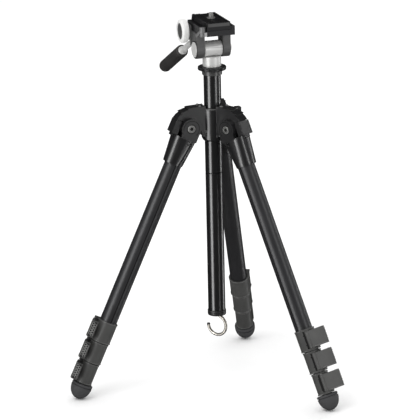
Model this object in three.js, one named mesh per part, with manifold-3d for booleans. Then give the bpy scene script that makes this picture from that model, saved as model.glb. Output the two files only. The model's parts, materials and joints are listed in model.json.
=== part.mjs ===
// Compact four-section travel tripod with a two-way pan head.
// Millimetres, +Z up. The origin is on the floor, at the middle of the footprint.
// The legs are collapsed and spread to their first stop, and the centre column is partly raised.
import * as THREE from "three";
import { mergeVertices } from "three/addons/utils/BufferGeometryUtils.js";
import Module from "manifold-3d";

const wasm = await Module();
wasm.setup();

// ---------------------------------------------------------------- driving dimensions

// Clearances
const GAP = 0.3; // between pieces that rest on each other
const SLIDE_FIT = 0.5; // radial, between a tube and the tube it slides in
const BORE_FIT = 0.3; // radial, round a shaft or a tube that sits in a hole
const PAST = 1; // how far a cutting shape runs on past what it cuts
const THROUGH = 60; // reach of a cutting shape that goes right through a piece

// Facets on a full circle
const LARGE_ROUND = 20;
const MEDIUM_ROUND = 16;
const SMALL_ROUND = 12;

// Legs: a leg is built upright, with its pivot at the origin, outward along +X and down along -Z
const LEG_NAMES = ["left_leg", "right_leg", "back_leg"];
const LEG_AZIMUTHS = [-150, -30, 90];
const LEG_ANGLE = 24.8; // from the vertical, at the first stop
const LEG_FOLDED = 374; // pivot to the tip of the foot
const TUBE_RADIUS = 11; // the widest section
const TUBE_WALL = 1.2;
const KEY_DEPTH = 0.7; // of the two grooves that stop the tubes from turning
const SECTION_COUNT = 4;
const TUBE_ROOF = 2.7; // between the angle tab's slot and the top of the widest tube
const TUBE_TOP_STEP = 4; // each inner tube starts this much lower

// Leg locks
const COLLAR_HEIGHT = 27.8;
const COLLAR_GAP = 0.8;
const COLLAR_WALL = 1.6;
const COLLAR_STEP = 1; // each collar is this much smaller in radius than the one above
const COLLAR_SEAT = 15.3; // depth of the upper tube in its collar
const COLLAR_SKIN = 0.4; // left outside the lever's room
const EAR_HEIGHT = 2.6; // hinge ears at the top and bottom of a collar
const HINGE_PROUD = 2.7; // hinge pin beyond the collar's outer radius
const HINGE_ANGLE = -40; // from straight outward
const HINGE_ROOM = 5.2; // radius kept free round the hinge pin
const KNUCKLE_RADIUS = 3.1;
const LEVER_THICKNESS = 3.1;
const LEVER_LENGTH = 24;
const LEVER_LIFT = 21.5; // degrees that the closed lever stands off the tangent
const GRIP_DEPTH = 8.2; // of the turned-in free end
const PIN_TO_FACE = 4.4; // hinge pin to the lever's outer face
const LEVER_CORNER = 1; // set back at the two corners of the outer face
const LEVER_CROWN = 0.7; // rise of the outer face at its middle

// Foot
const FOOT_RADIUS = 13.5;
const FOOT_HEIGHT = 21;
const FOOT_SOCKET = 12;
const FOOT_LIP = 3;
const FOOT_EDGE = 1; // set back round the top of the foot
const FOOT_DOME_STEP = 15; // degrees between the points of the dome

// Leg crown and its knuckle joint
const CROWN_LENGTH = 50; // pivot to the lower rim
const CROWN_WALL = 2;
const CROWN_FLARE = 1; // the knuckle is this much wider on each side than the lower rim
const CROWN_DEPTH = 2; // the shoulder is this much deeper, front to back, than wide
const CROWN_SQUARENESS = 2.8; // of the shoulder's outline, where 2 is an ellipse
const CROWN_RIM_OFFSET = 0.9; // outward, of the lower rim
const CROWN_SHOULDER_OFFSET = 0.6; // outward, of the shoulder
const KNUCKLE_DISC = 12.8; // radius of the crown's two ears
const KNUCKLE_ROOM = 0.5; // round the ears, at the root of an arm
const SHOULDER_STEP = 1; // below the ears' discs
const EAR_WALL = 6; // each ear of the crown
const EAR_SETBACK = 3.8; // of the ears' straight front, behind the angle tab
const BOLT_RADIUS = 3;
const BOLT_HEAD_RADIUS = 5;
const BOLT_HEAD_HEIGHT = 1.5;
const BOLT_SOCKET_RADIUS = 2.4;
const BOLT_RECESS = 1.5;
const BOLT_RECESS_FIT = 1; // radial, round the head and the nut
const BOLT_END = 0.4; // proud of the nut
const NUT_RADIUS = 4.6;
const NUT_HEIGHT = 1.6;
const STOP_ANGLES = [LEG_ANGLE, 50, 75];
const STOP_RADII = [21.4, 23.4, 25.2];
const PAWL_TOP = 4; // pivot line to the top of the angle tab
const TAB_THICKNESS = 8.2;
const TAB_HALF_WIDTH = 9.5;
const TAB_FOOT_DEPTH = 3.2; // into the shoulder
const TAB_FOOT_HALF_WIDTH = 5;
const TAB_FOOT_REACH = 4; // inward of the tab
const TAB_FOOT_SETBACK = 2; // from the tab's outer face

// Spider
const SLEEVE_WALL = 3.9;
const SLEEVE_TOP = 22.4; // above the pivots
const SLEEVE_BOTTOM = -19.4;
const SLEEVE_CHAMFER = 2.2;
const SLEEVE_TAPER = 3.5; // height of the chamfer at the bottom
const SLEEVE_EDGE = 1; // chamfer at the top
const ARM_REACH = 5.3; // between the sleeve and the ears of a crown
const ARM_ROOT = 2.9; // of an arm inside the sleeve's wall
const ARM_TOP = 26.5;
const ARM_RISE = 5; // sleeve's bottom to the arm's root
const ARM_HEEL = [4, 2]; // length and rise of the step under an arm's root
const ARM_BREAK = 4; // below the pivots, where the arm's underside meets the knuckle
const STOP_START = 6; // pivot to the inner end of the first stop
const TONGUE_SETBACK = 0.8; // of the tongue's disc, inside the ears' discs

// Column lock
const LOCK_KNOB_AZIMUTH = 30;
const LOCK_KNOB_HEIGHT = 10.4; // above the pivots
const LOCK_BOSS_RADIUS = 5;
const LOCK_BOSS_PROUD = 1.3; // beyond the point where the knob's hub clears the arms
const LOCK_TO_ARM = 60; // degrees between the lock knob and the arm on each side of it
const LOCK_HUB_RADIUS = 4.4;
const LOCK_HUB_LENGTH = 11.7;
const LOCK_WING_START = 9.2; // from the boss
const LOCK_WING_DEPTH = 7;
const LOCK_WING_HALF_WIDTH = 4.2;
const LOCK_WING_HALF_HEIGHT = 9.5;

// Centre column
const COLUMN_RADIUS = 11;
const COLUMN_WALL = 1.4;
const COLUMN_RAISED = 42.5; // space between the sleeve and the flange collar
const UPPER_TUBE_LENGTH = 132.9;
const COLUMN_LENGTH = 321.6; // flange underside to the bottom of the end cap
const FLANGE_RADIUS = 18;
const FLANGE_HEIGHT = 4.1;
const FLANGE_COLLAR_HEIGHT = 6.4;
const FLANGE_COLLAR_WALL = 1.4;
const FLANGE_EDGE = 0.5;
const HEAD_STUD_RADIUS = 4.7;
const HEAD_STUD_HEIGHT = 8; // above the flange
const SPIGOT_LENGTH = 14;
const END_CAP_HEIGHT = 7;
const END_CAP_PROUD = 0.8;
const END_CAP_EDGE = 1.3;
const END_CAP_FLOOR = 3;
const END_CAP_WALL = 1; // of the plug
const END_CAP_PLUG = 5; // height of the plug above the cap

// Ballast hook
const HOOK_WIRE = 2; // radius
const HOOK_RADIUS = 13; // of the bend's centre line
const HOOK_DROP = 14.2; // cap underside to the centre of the bend
const HOOK_START = 66; // degrees, where the bend begins
const HOOK_END = -183;
const HOOK_AZIMUTH = -20;
const HOOK_STEP = 12; // degrees between the points of the bend
const HOOK_STEM = [5.5, 3.2, 1.2, -0.6]; // heights of the stem's points above the cap's underside
const HOOK_LEAN = [2, 0.7]; // height where the stem begins to lean, and its slope
const HOOK_HOLE = 5; // radius of the hole that the hook swivels in
const HOOK_DISC = 2.7; // thickness of the disc that holds the hook

// Pan head: its own X runs along the tilt axle and its own Y to the front
const HEAD_AZIMUTH = -150;
const NECK_RADIUS = 11.75;
const TILT_AXIS_RISE = 22.9; // flange top to tilt axle
const NECK_TOP = 9.2; // tilt axle to the neck's shoulder
const NECK_SOCKET_ROOM = 1; // above the stud of the column
const POST_RADIUS = 3; // of the post between the neck and the barrel
const POST_TOP = 1.2; // below the axle
const BARREL_RADIUS = 10;
const BARREL_HOLE_RADIUS = 3.5;
const AXLE_RADIUS = 4;
const AXLE_CAP_HEIGHT = 1.5;
const AXLE_NUT_RADIUS = 6;
const AXLE_NUT_HEIGHT = 2.4;
const AXLE_END = [3, 0.5]; // past the yoke's faces: at the nut and inside the cap
const EAR_HALF_DEPTH = 10.4;
const EAR_BOSS_RADIUS = 11.75;
const AXLE_CAP_RADIUS = 9.75;
const WINDOW_TOP = 18.1; // tilt axle to the underside of the yoke's beam
const BEAM_THICKNESS = 3.5;
const YOKE_INSET = 1.2; // of the yoke's side faces, outside the clamp's jaws

// Quick release
const PLATE_HALF_WIDTH = 15.8;
const PLATE_HALF_LENGTH = 31.2;
const PLATE_THICKNESS = 10;
const PLATE_DRAFT = 0.8;
const PLATE_RIM = 3.4;
const PLATE_RIM_HEIGHT = 0.8;
const PLATE_SKIRT = 2; // height of the upright foot of the sides
const BED_THICKNESS = 6.8;
const JAW_THICKNESS = 4.7;
const JAW_HEIGHTS = [3.4, 7]; // lever side and far side, above the bed
const CAMERA_SCREW_RADIUS = 3.175;
const CAMERA_SCREW_PROUD = 6.6;
const CAMERA_SCREW_RING = [5.5, 1.4]; // radius and top, above the plate's floor
const CAMERA_SCREW_HEAD = 8.2; // radius, under the plate
const CAMERA_SCREW_RECESS = 3; // depth, in the plate's underside
const LEVER_BOSS_RADIUS = 4;
const LEVER_BOSS_RISE = 1.4; // above the lever-side jaw
const LEVER_BAR_DEPTH = 3;
const LEVER_BAR_RUN = 6.5; // outward of its root
const LEVER_BAR_DROP = 5.5; // at its underside
const LEVER_BAR_ROOT = [-1.5, 2]; // heights of the root, from the bed's top
const LEVER_BAR_TIP = 2.6; // thickness at the tip
const LEVER_CLEAR = 2; // of the jaw, round the lever's post

// Side knob and pan handle
const SIDE_KNOB_RADIUS = 15;
const SIDE_KNOB_THICKNESS = 9.4;
const SIDE_KNOB_BACK = 25; // behind the tilt axle
const SIDE_KNOB_RISE = 19.6; // above the tilt axle
const SIDE_STUD_RADIUS = 2.5;
const SIDE_PLATE_THICKNESS = 2;
const SIDE_PLATE_SPAN = [-33.5, -11.5]; // front to back, from the tilt axle
const SIDE_PLATE_LOW = 9.5; // above the tilt axle
const LUG_BACK = 18.5; // of the yoke's lug, behind the tilt axle
const LUG_LOW = 2; // underside, above the tilt axle
const CLAMP_LUG_ROOM = 0.5; // between the yoke's lug and the clamp's
const CLAMP_LUG_INNER = 6; // side of the clamp's lug, from the middle
const CLAMP_LUG_DEPTH = 7; // below the side knob's axis
const HANDLE_ANGLE = 25.9; // below the horizontal
const HANDLE_ROOT = [-12, 11.1]; // a point of the handle's axis, from the tilt axle
const HANDLE_ROD_RADIUS = 3.6;
const HANDLE_ROD_LENGTH = 61; // root to grip
const HANDLE_SOCKET = 5; // depth behind the root
const HANDLE_GRIP_RADIUS = 8;
const HANDLE_GRIP_LENGTH = 87;
const HANDLE_INSERT = 30; // of the rod inside the grip
const HANDLE_COLLAR = [5.4, 3]; // radius and length of the ring next to the grip
const GRIP_EDGE = 1.2; // set back at the near end
const GRIP_NOSE = [[8, 6], [6.5, 2.5], [3, 0]]; // radius and distance from the far end

// ---------------------------------------------------------------- finishes

const finish = (color, roughness, metalness) =>
  new THREE.MeshStandardMaterial({ color, roughness, metalness });
const GLOSS_BLACK = () => finish(0x17181a, 0.22, 0.6);
const TUBE_ANODISED = () => finish(0x2a2b2f, 0.42, 0.6);
const LOCK_PLASTIC = () => finish(0x3a3b3e, 0.6, 0);
const RUBBER = () => finish(0x3c3d41, 0.85, 0);
const STEEL = () => finish(0xb9b5ae, 0.28, 1);
const SATIN_SILVER = () => finish(0xd9d9d7, 0.35, 0.9);
const HEAD_GREY = () => finish(0x6b6b6c, 0.45, 0.5);
const HEAD_BLACK = () => finish(0x2b2b30, 0.5, 0.3);

// ---------------------------------------------------------------- solid helpers

const radians = THREE.MathUtils.degToRad;

// A closed geometry as a solid. A profile may run either way, so the faces are turned to point out.
function solidOf(geometry) {
  const bare = geometry.clone();
  bare.deleteAttribute("normal");
  bare.deleteAttribute("uv");
  const merged = mergeVertices(bare, 1e-4);
  const triVerts = new Uint32Array(merged.index.array);
  const vertProperties = merged.attributes.position.array;
  const solid = new wasm.Manifold(new wasm.Mesh({ numProp: 3, vertProperties, triVerts }));
  if (solid.volume() > 0) return solid;
  for (let i = 0; i < triVerts.length; i += 3) {
    [triVerts[i + 1], triVerts[i + 2]] = [triVerts[i + 2], triVerts[i + 1]];
  }
  return new wasm.Manifold(new wasm.Mesh({ numProp: 3, vertProperties, triVerts }));
}

const join = (first, ...others) => others.reduce((sum, part) => sum.add(part), first);
const cut = (first, ...others) => others.reduce((rest, part) => rest.subtract(part), first);

// A named mesh from a solid.
function piece(name, solid, material) {
  const mesh = solid.getMesh();
  const geometry = new THREE.BufferGeometry();
  geometry.setAttribute("position", new THREE.BufferAttribute(mesh.vertProperties, 3));
  geometry.setIndex(new THREE.BufferAttribute(mesh.triVerts, 1));
  geometry.computeVertexNormals();
  const result = new THREE.Mesh(geometry, material);
  result.name = name;
  return result;
}

// A block between two corners.
function block(x, y, z) {
  const size = [x, y, z].map(([low, high]) => high - low);
  const middle = [x, y, z].map(([low, high]) => (low + high) / 2);
  return solidOf(new THREE.BoxGeometry(...size).translate(...middle));
}

// A cylinder along one axis, from a to b, through the point (p, q) of the other two axes.
function drum(axis, radius, a, b, [p, q] = [0, 0], facets = MEDIUM_ROUND) {
  const geometry = new THREE.CylinderGeometry(radius, radius, b - a, facets);
  const middle = (a + b) / 2;
  if (axis === "x") geometry.rotateZ(Math.PI / 2).translate(middle, p, q);
  if (axis === "y") geometry.translate(p, middle, q);
  if (axis === "z") geometry.rotateX(Math.PI / 2).translate(p, q, middle);
  return solidOf(geometry);
}

// A body of revolution about Z from [radius, height] pairs.
function turned(profile, facets = LARGE_ROUND) {
  const points = profile.map(([radius, height]) => new THREE.Vector2(radius, height));
  return solidOf(new THREE.LatheGeometry(points, facets).rotateX(Math.PI / 2));
}

// A tube or ring about Z.
function ring(outer, inner, low, high, facets = LARGE_ROUND) {
  return turned([[inner, low], [outer, low], [outer, high], [inner, high], [inner, low]], facets);
}

// An outline of [x, y] pairs, extruded along Z.
function prism(outline, low, high) {
  const shape = new THREE.Shape(outline.map(([x, y]) => new THREE.Vector2(x, y)));
  const geometry = new THREE.ExtrudeGeometry(shape, { depth: high - low, bevelEnabled: false });
  return solidOf(geometry.translate(0, 0, low));
}

// A rounded rectangle or an ellipse: power 2 is an ellipse, and a higher power is squarer.
function oval(halfX, halfY, power, centreX = 0, count = LARGE_ROUND) {
  const bulge = (value) => Math.sign(value) * Math.abs(value) ** (2 / power);
  return Array.from({ length: count }, (_, i) => {
    const angle = (2 * Math.PI * i) / count;
    return [centreX + halfX * bulge(Math.cos(angle)), halfY * bulge(Math.sin(angle))];
  });
}

// A closed skin between stacked outlines that have the same number of points.
function loft(sections) {
  const count = sections[0].outline.length;
  const positions = sections.flatMap(({ outline, z }) => outline.flatMap(([x, y]) => [x, y, z]));
  const index = [];
  for (let level = 0; level < sections.length - 1; level++) {
    for (let i = 0; i < count; i++) {
      const a = level * count + i;
      const b = level * count + ((i + 1) % count);
      index.push(a, b, b + count, a, b + count, a + count);
    }
  }
  const lid = (outline) => outline.map(([x, y]) => new THREE.Vector2(x, y));
  const top = (sections.length - 1) * count;
  for (const [a, b, c] of THREE.ShapeUtils.triangulateShape(lid(sections[0].outline), [])) {
    index.push(c, b, a);
  }
  for (const [a, b, c] of THREE.ShapeUtils.triangulateShape(lid(sections.at(-1).outline), [])) {
    index.push(top + a, top + b, top + c);
  }
  const geometry = new THREE.BufferGeometry();
  geometry.setAttribute("position", new THREE.Float32BufferAttribute(positions, 3));
  geometry.setIndex(index);
  return solidOf(geometry);
}

// ---------------------------------------------------------------- leg

const tubeRadius = (section) => TUBE_RADIUS - (section - 1) * (TUBE_WALL + SLIDE_FIT);
const shoulder = KNUCKLE_DISC + SHOULDER_STEP;
const crownHalfWidth = TUBE_RADIUS + CROWN_WALL + CROWN_FLARE;
const tongueHalfWidth = crownHalfWidth - EAR_WALL - GAP;
const tabSlotDepth = TAB_FOOT_DEPTH + GAP;
const tubeTop = (section) => shoulder + tabSlotDepth + TUBE_ROOF + (section - 1) * TUBE_TOP_STEP;
const footTop = LEG_FOLDED - FOOT_HEIGHT;
const collarTop = (stage) => footTop - (SECTION_COUNT - stage) * (COLLAR_HEIGHT + COLLAR_GAP);
const collarRadius = (stage) => TUBE_RADIUS + COLLAR_WALL - (stage - 1) * COLLAR_STEP;
const collarSeat = (stage) => collarTop(stage) + COLLAR_SEAT;
const hingePin = (stage) => {
  const reach = collarRadius(stage) + HINGE_PROUD;
  return [reach * Math.cos(radians(HINGE_ANGLE)), reach * Math.sin(radians(HINGE_ANGLE))];
};

// The lower end of a leg section's tube: in its collar, or in the foot.
function tubeBottom(section) {
  if (section === SECTION_COUNT) return footTop + FOOT_SOCKET - GAP;
  return collarSeat(section) - GAP;
}

// A round outline with a shallow key groove on each side.
function keyedCircle(radius) {
  return Array.from({ length: LARGE_ROUND }, (_, i) => {
    const quarter = LARGE_ROUND / 4;
    const depth = i % (2 * quarter) === quarter ? KEY_DEPTH : 0;
    const angle = (2 * Math.PI * i) / LARGE_ROUND;
    return [(radius - depth) * Math.cos(angle), (radius - depth) * Math.sin(angle)];
  });
}

function legTube(section) {
  const outer = tubeRadius(section);
  const [top, bottom] = [-tubeTop(section), -tubeBottom(section)];
  const wall = prism(keyedCircle(outer), bottom, top);
  return cut(wall, prism(keyedCircle(outer - TUBE_WALL), bottom - PAST, top + PAST));
}

// The clamp body on the lower end of a tube, with the hinge ears of its lever at one corner.
function lockCollar(stage) {
  const radius = collarRadius(stage);
  const [pinX, pinY] = hingePin(stage);
  const top = -collarTop(stage);
  const bottom = top - COLLAR_HEIGHT;
  const seat = -collarSeat(stage);
  const corner = block([0, pinX + KNUCKLE_RADIUS], [-radius, pinY + KNUCKLE_RADIUS], [bottom, top]);
  const body = join(drum("z", radius, bottom, top, [0, 0], LARGE_ROUND), corner);
  const leverLow = bottom + EAR_HEIGHT;
  const leverHigh = top - EAR_HEIGHT;
  const leverRoom = cut(
    drum("z", HINGE_ROOM, leverLow, leverHigh, [pinX, pinY], SMALL_ROUND),
    drum("z", radius - COLLAR_SKIN, leverLow - PAST, leverHigh + PAST, [0, 0], LARGE_ROUND),
  );
  return cut(
    body,
    leverRoom,
    drum("z", tubeRadius(stage) + BORE_FIT, seat, top + PAST, [0, 0], LARGE_ROUND),
    drum("z", tubeRadius(stage + 1) + BORE_FIT, bottom - PAST, seat + PAST, [0, 0], LARGE_ROUND),
  );
}

// The flip lever: a plate that rises from its hinge knuckle to a turned-in grip at the free end.
function flipLever(stage) {
  const [pinX, pinY] = hingePin(stage);
  const high = -collarTop(stage) - EAR_HEIGHT - GAP;
  const low = -collarTop(stage) - COLLAR_HEIGHT + EAR_HEIGHT + GAP;
  const lift = radians(LEVER_LIFT);
  const along = [Math.sin(lift), Math.cos(lift)];
  const out = [Math.cos(lift), -Math.sin(lift)];
  const at = (run, rise) => [
    pinX + run * along[0] + rise * out[0],
    pinY + run * along[1] + rise * out[1],
  ];
  const inner = PIN_TO_FACE - LEVER_THICKNESS;
  const outline = [
    at(-LEVER_CORNER, inner),
    at(-LEVER_CORNER, PIN_TO_FACE - LEVER_CORNER),
    at(0, PIN_TO_FACE),
    at(LEVER_LENGTH / 2, PIN_TO_FACE + LEVER_CROWN),
    at(LEVER_LENGTH - LEVER_CORNER, PIN_TO_FACE),
    at(LEVER_LENGTH, PIN_TO_FACE - LEVER_CORNER),
    at(LEVER_LENGTH, PIN_TO_FACE - GRIP_DEPTH),
    at(LEVER_LENGTH - LEVER_THICKNESS, PIN_TO_FACE - GRIP_DEPTH),
    at(LEVER_LENGTH - LEVER_THICKNESS, inner),
  ];
  return join(
    drum("z", KNUCKLE_RADIUS - GAP, low, high, [pinX, pinY], SMALL_ROUND),
    prism(outline, low, high),
  );
}

// [radius, height] pairs of the rubber foot, from the socket round the outside to the tip.
function footProfile() {
  const socket = tubeRadius(SECTION_COUNT) + BORE_FIT;
  const tip = -LEG_FOLDED;
  const lip = -footTop - FOOT_LIP;
  const dome = [];
  for (let degrees = 0; degrees < 90; degrees += FOOT_DOME_STEP) {
    const depth = (FOOT_HEIGHT - FOOT_LIP) * Math.sin(radians(degrees));
    dome.push([FOOT_RADIUS * Math.cos(radians(degrees)), lip - depth]);
  }
  return [
    [0, -footTop - FOOT_SOCKET],
    [socket, -footTop - FOOT_SOCKET],
    [socket, -footTop],
    [FOOT_RADIUS - FOOT_EDGE, -footTop],
    ...dome,
    [0, tip],
  ];
}

// The height of the pivots that puts the feet on the floor.
function pivotHeight() {
  const lean = radians(LEG_ANGLE);
  const drops = footProfile().map(([r, z]) => r * Math.sin(lean) - z * Math.cos(lean));
  return Math.max(...drops);
}

// The casting on top of a leg: a tapered sleeve for the tube, under the two ears of the knuckle joint.
function legCrown() {
  const half = crownHalfWidth;
  const rim = oval(half - CROWN_FLARE, half - CROWN_FLARE, 2, CROWN_RIM_OFFSET);
  const top = oval(half + CROWN_DEPTH, half, CROWN_SQUARENESS, CROWN_SHOULDER_OFFSET);
  const sleeve = loft([
    { outline: rim, z: -CROWN_LENGTH },
    { outline: top, z: -shoulder },
  ]);
  const ears = join(
    drum("y", KNUCKLE_DISC, -half, half, [0, 0], LARGE_ROUND),
    block([-KNUCKLE_DISC, KNUCKLE_DISC - EAR_SETBACK], [-half, half], [-shoulder - PAST, 0]),
  );
  const tongueRoom = block(
    [-THROUGH, THROUGH],
    [-tongueHalfWidth - GAP, tongueHalfWidth + GAP],
    [-shoulder, THROUGH],
  );
  const boltSeat = half - BOLT_RECESS;
  const tabSlot = block(
    [tabInner - TAB_FOOT_REACH - PAST, THROUGH],
    [-TAB_FOOT_HALF_WIDTH - GAP, TAB_FOOT_HALF_WIDTH + GAP],
    [-shoulder - tabSlotDepth, -shoulder + PAST],
  );
  const tubeSocket = prism(keyedCircle(TUBE_RADIUS + BORE_FIT), -CROWN_LENGTH - PAST, GAP - tubeTop(1));
  return cut(
    join(sleeve, cut(ears, tongueRoom)),
    tubeSocket,
    tabSlot,
    drum("y", BOLT_RADIUS + BORE_FIT, -THROUGH, THROUGH, [0, 0], SMALL_ROUND),
    drum("y", BOLT_HEAD_RADIUS + BOLT_RECESS_FIT, boltSeat, THROUGH),
    drum("y", BOLT_HEAD_RADIUS + BOLT_RECESS_FIT, -THROUGH, -boltSeat),
  );
}

// The socket-head bolt of the knuckle joint, with its nut.
function pivotBolt() {
  const seat = crownHalfWidth - BOLT_RECESS + GAP;
  const socketFloor = seat + GAP;
  return cut(
    join(
      drum("y", BOLT_RADIUS, -seat - NUT_HEIGHT - BOLT_END, socketFloor, [0, 0], SMALL_ROUND),
      drum("y", BOLT_HEAD_RADIUS, seat, seat + BOLT_HEAD_HEIGHT),
      drum("y", NUT_RADIUS, -seat - NUT_HEIGHT, -seat, [0, 0], 6),
    ),
    drum("y", BOLT_SOCKET_RADIUS, socketFloor, THROUGH, [0, 0], 6),
  );
}

const tabInner = KNUCKLE_DISC + GAP;

// The spring-loaded tab: its top is the pawl under the spider's stop, and its foot runs in the crown.
function angleTab() {
  const outer = tabInner + TAB_THICKNESS;
  const pawl = block([tabInner, outer], [-TAB_HALF_WIDTH, TAB_HALF_WIDTH], [GAP - shoulder, PAWL_TOP]);
  const foot = block(
    [tabInner - TAB_FOOT_REACH, outer - TAB_FOOT_SETBACK],
    [-TAB_FOOT_HALF_WIDTH, TAB_FOOT_HALF_WIDTH],
    [-shoulder - TAB_FOOT_DEPTH, PAST - shoulder],
  );
  return join(pawl, foot);
}

function buildLeg(name) {
  const leg = new THREE.Group();
  leg.add(piece(`${name}_crown`, legCrown(), GLOSS_BLACK()));
  leg.add(piece(`${name}_pivot_bolt`, pivotBolt(), STEEL()));
  leg.add(piece(`${name}_angle_tab`, angleTab(), HEAD_BLACK()));
  for (let section = 1; section <= SECTION_COUNT; section++) {
    leg.add(piece(`${name}_tube_${section}`, legTube(section), TUBE_ANODISED()));
  }
  for (let stage = 1; stage < SECTION_COUNT; stage++) {
    leg.add(piece(`${name}_collar_${stage}`, lockCollar(stage), LOCK_PLASTIC()));
    leg.add(piece(`${name}_lever_${stage}`, flipLever(stage), LOCK_PLASTIC()));
  }
  leg.add(piece(`${name}_foot`, turned(footProfile(), MEDIUM_ROUND), RUBBER()));
  return leg;
}

// ---------------------------------------------------------------- spider

const sleeveRadius = COLUMN_RADIUS + SLEEVE_WALL;
const pivotRadius = sleeveRadius + ARM_REACH + KNUCKLE_DISC;
const flangeInner = COLUMN_RADIUS + BORE_FIT;
const flangeCollar = flangeInner + FLANGE_COLLAR_WALL;

// A point of the stop step for one leg angle, in the arm's upright plane with the pivot at the origin.
function stopPoint(degrees, reach) {
  const angle = radians(degrees);
  const rise = PAWL_TOP + GAP;
  return [
    reach * Math.cos(angle) - rise * Math.sin(angle),
    reach * Math.sin(angle) + rise * Math.cos(angle),
  ];
}

// The outline of an arm from the side, with the stepped stops of the leg angles.
function armOutline() {
  const inner = sleeveRadius - ARM_ROOT - pivotRadius;
  const [heelLength, heelRise] = ARM_HEEL;
  const [first, second, third] = STOP_ANGLES;
  return [
    [inner, SLEEVE_BOTTOM + ARM_RISE],
    [inner + heelLength, SLEEVE_BOTTOM + ARM_RISE + heelRise],
    [-KNUCKLE_DISC - 2 * KNUCKLE_ROOM, -ARM_BREAK],
    stopPoint(first, STOP_START),
    stopPoint(first, STOP_RADII[0]),
    stopPoint((first + second) / 2, STOP_RADII[0]),
    stopPoint(second, STOP_RADII[0]),
    stopPoint(second, STOP_RADII[1]),
    stopPoint(third, STOP_RADII[1]),
    stopPoint(third, STOP_RADII[2]),
    [inner, ARM_TOP],
  ];
}

// The arm's outline stands in X and Z, so the prism is turned up: its depth runs along Y.
function uprightArm(halfWidth) {
  const shape = new THREE.Shape(armOutline().map(([x, z]) => new THREE.Vector2(x, z)));
  const geometry = new THREE.ExtrudeGeometry(shape, { depth: 2 * halfWidth, bevelEnabled: false });
  return solidOf(geometry.rotateX(Math.PI / 2).translate(0, halfWidth, 0));
}

// One arm: an upright web that ends in the tongue between the crown's ears.
function spiderArm() {
  const disc = KNUCKLE_DISC - TONGUE_SETBACK;
  const web = join(
    uprightArm(tongueHalfWidth),
    drum("y", disc, -tongueHalfWidth, tongueHalfWidth, [0, 0], LARGE_ROUND),
  );
  const boltHole = drum("y", BOLT_RADIUS + BORE_FIT, -THROUGH, THROUGH, [0, 0], SMALL_ROUND);
  return cut(web, boltHole).translate([pivotRadius, 0, 0]);
}

// The crowns on both sides of the lock are wide, so the knob's hub starts where it clears their width.
const lockClear =
  (crownHalfWidth + LOCK_HUB_RADIUS * Math.cos(radians(LOCK_TO_ARM))) / Math.sin(radians(LOCK_TO_ARM));
const lockBossEnd = lockClear + LOCK_BOSS_PROUD;

function spider() {
  const sleeve = turned([
    [0, SLEEVE_BOTTOM],
    [sleeveRadius - SLEEVE_CHAMFER, SLEEVE_BOTTOM],
    [sleeveRadius, SLEEVE_BOTTOM + SLEEVE_TAPER],
    [sleeveRadius, SLEEVE_TOP - SLEEVE_EDGE],
    [sleeveRadius - SLEEVE_EDGE, SLEEVE_TOP],
    [0, SLEEVE_TOP],
  ]);
  const arms = LEG_AZIMUTHS.map((azimuth) => spiderArm().rotate([0, 0, azimuth]));
  const onLock = [0, LOCK_KNOB_HEIGHT];
  const boss = drum("x", LOCK_BOSS_RADIUS, COLUMN_RADIUS, lockBossEnd, onLock);
  const bossHole = drum("x", SIDE_STUD_RADIUS + BORE_FIT, 0, THROUGH, onLock, SMALL_ROUND);
  return cut(
    join(sleeve, boss.rotate([0, 0, LOCK_KNOB_AZIMUTH]), ...arms),
    drum("z", COLUMN_RADIUS + BORE_FIT, -THROUGH, THROUGH, [0, 0], LARGE_ROUND),
    drum("z", flangeCollar + GAP, SLEEVE_TOP, THROUGH, [0, 0], LARGE_ROUND),
    bossHole.rotate([0, 0, LOCK_KNOB_AZIMUTH]),
  );
}

// The T-shaped knob that clamps the column, with its stud along X.
function columnLockKnob() {
  const start = lockBossEnd + GAP;
  const onLock = [0, LOCK_KNOB_HEIGHT];
  const wing = block(
    [start + LOCK_WING_START, start + LOCK_WING_START + LOCK_WING_DEPTH],
    [-LOCK_WING_HALF_WIDTH, LOCK_WING_HALF_WIDTH],
    [LOCK_KNOB_HEIGHT - LOCK_WING_HALF_HEIGHT, LOCK_KNOB_HEIGHT + LOCK_WING_HALF_HEIGHT],
  );
  return join(
    drum("x", SIDE_STUD_RADIUS, COLUMN_RADIUS + 2 * GAP, start + PAST, onLock, SMALL_ROUND),
    drum("x", LOCK_HUB_RADIUS, start, start + LOCK_HUB_LENGTH, onLock),
    wing,
  );
}

// ---------------------------------------------------------------- centre column, from its flange down

const jointHeight = -UPPER_TUBE_LENGTH;
const capBottom = -COLUMN_LENGTH;
const capTop = capBottom + END_CAP_HEIGHT;
const spigotRadius = COLUMN_RADIUS - COLUMN_WALL - BORE_FIT;
const lowerTubeBore = spigotRadius - COLUMN_WALL;
const capPlug = lowerTubeBore - BORE_FIT;
const capCavity = capPlug - END_CAP_WALL;

function columnFlange() {
  return turned([
    [0, GAP],
    [flangeInner, GAP],
    [flangeInner, -FLANGE_COLLAR_HEIGHT],
    [flangeCollar, -FLANGE_COLLAR_HEIGHT],
    [flangeCollar, 0],
    [FLANGE_RADIUS - FLANGE_EDGE, 0],
    [FLANGE_RADIUS, FLANGE_EDGE],
    [FLANGE_RADIUS, FLANGE_HEIGHT - FLANGE_EDGE],
    [FLANGE_RADIUS - FLANGE_EDGE, FLANGE_HEIGHT],
    [HEAD_STUD_RADIUS, FLANGE_HEIGHT],
    [HEAD_STUD_RADIUS, FLANGE_HEIGHT + HEAD_STUD_HEIGHT],
    [0, FLANGE_HEIGHT + HEAD_STUD_HEIGHT],
  ]);
}

function columnUpperTube() {
  return ring(COLUMN_RADIUS, COLUMN_RADIUS - COLUMN_WALL, jointHeight + GAP, 0);
}

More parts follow.
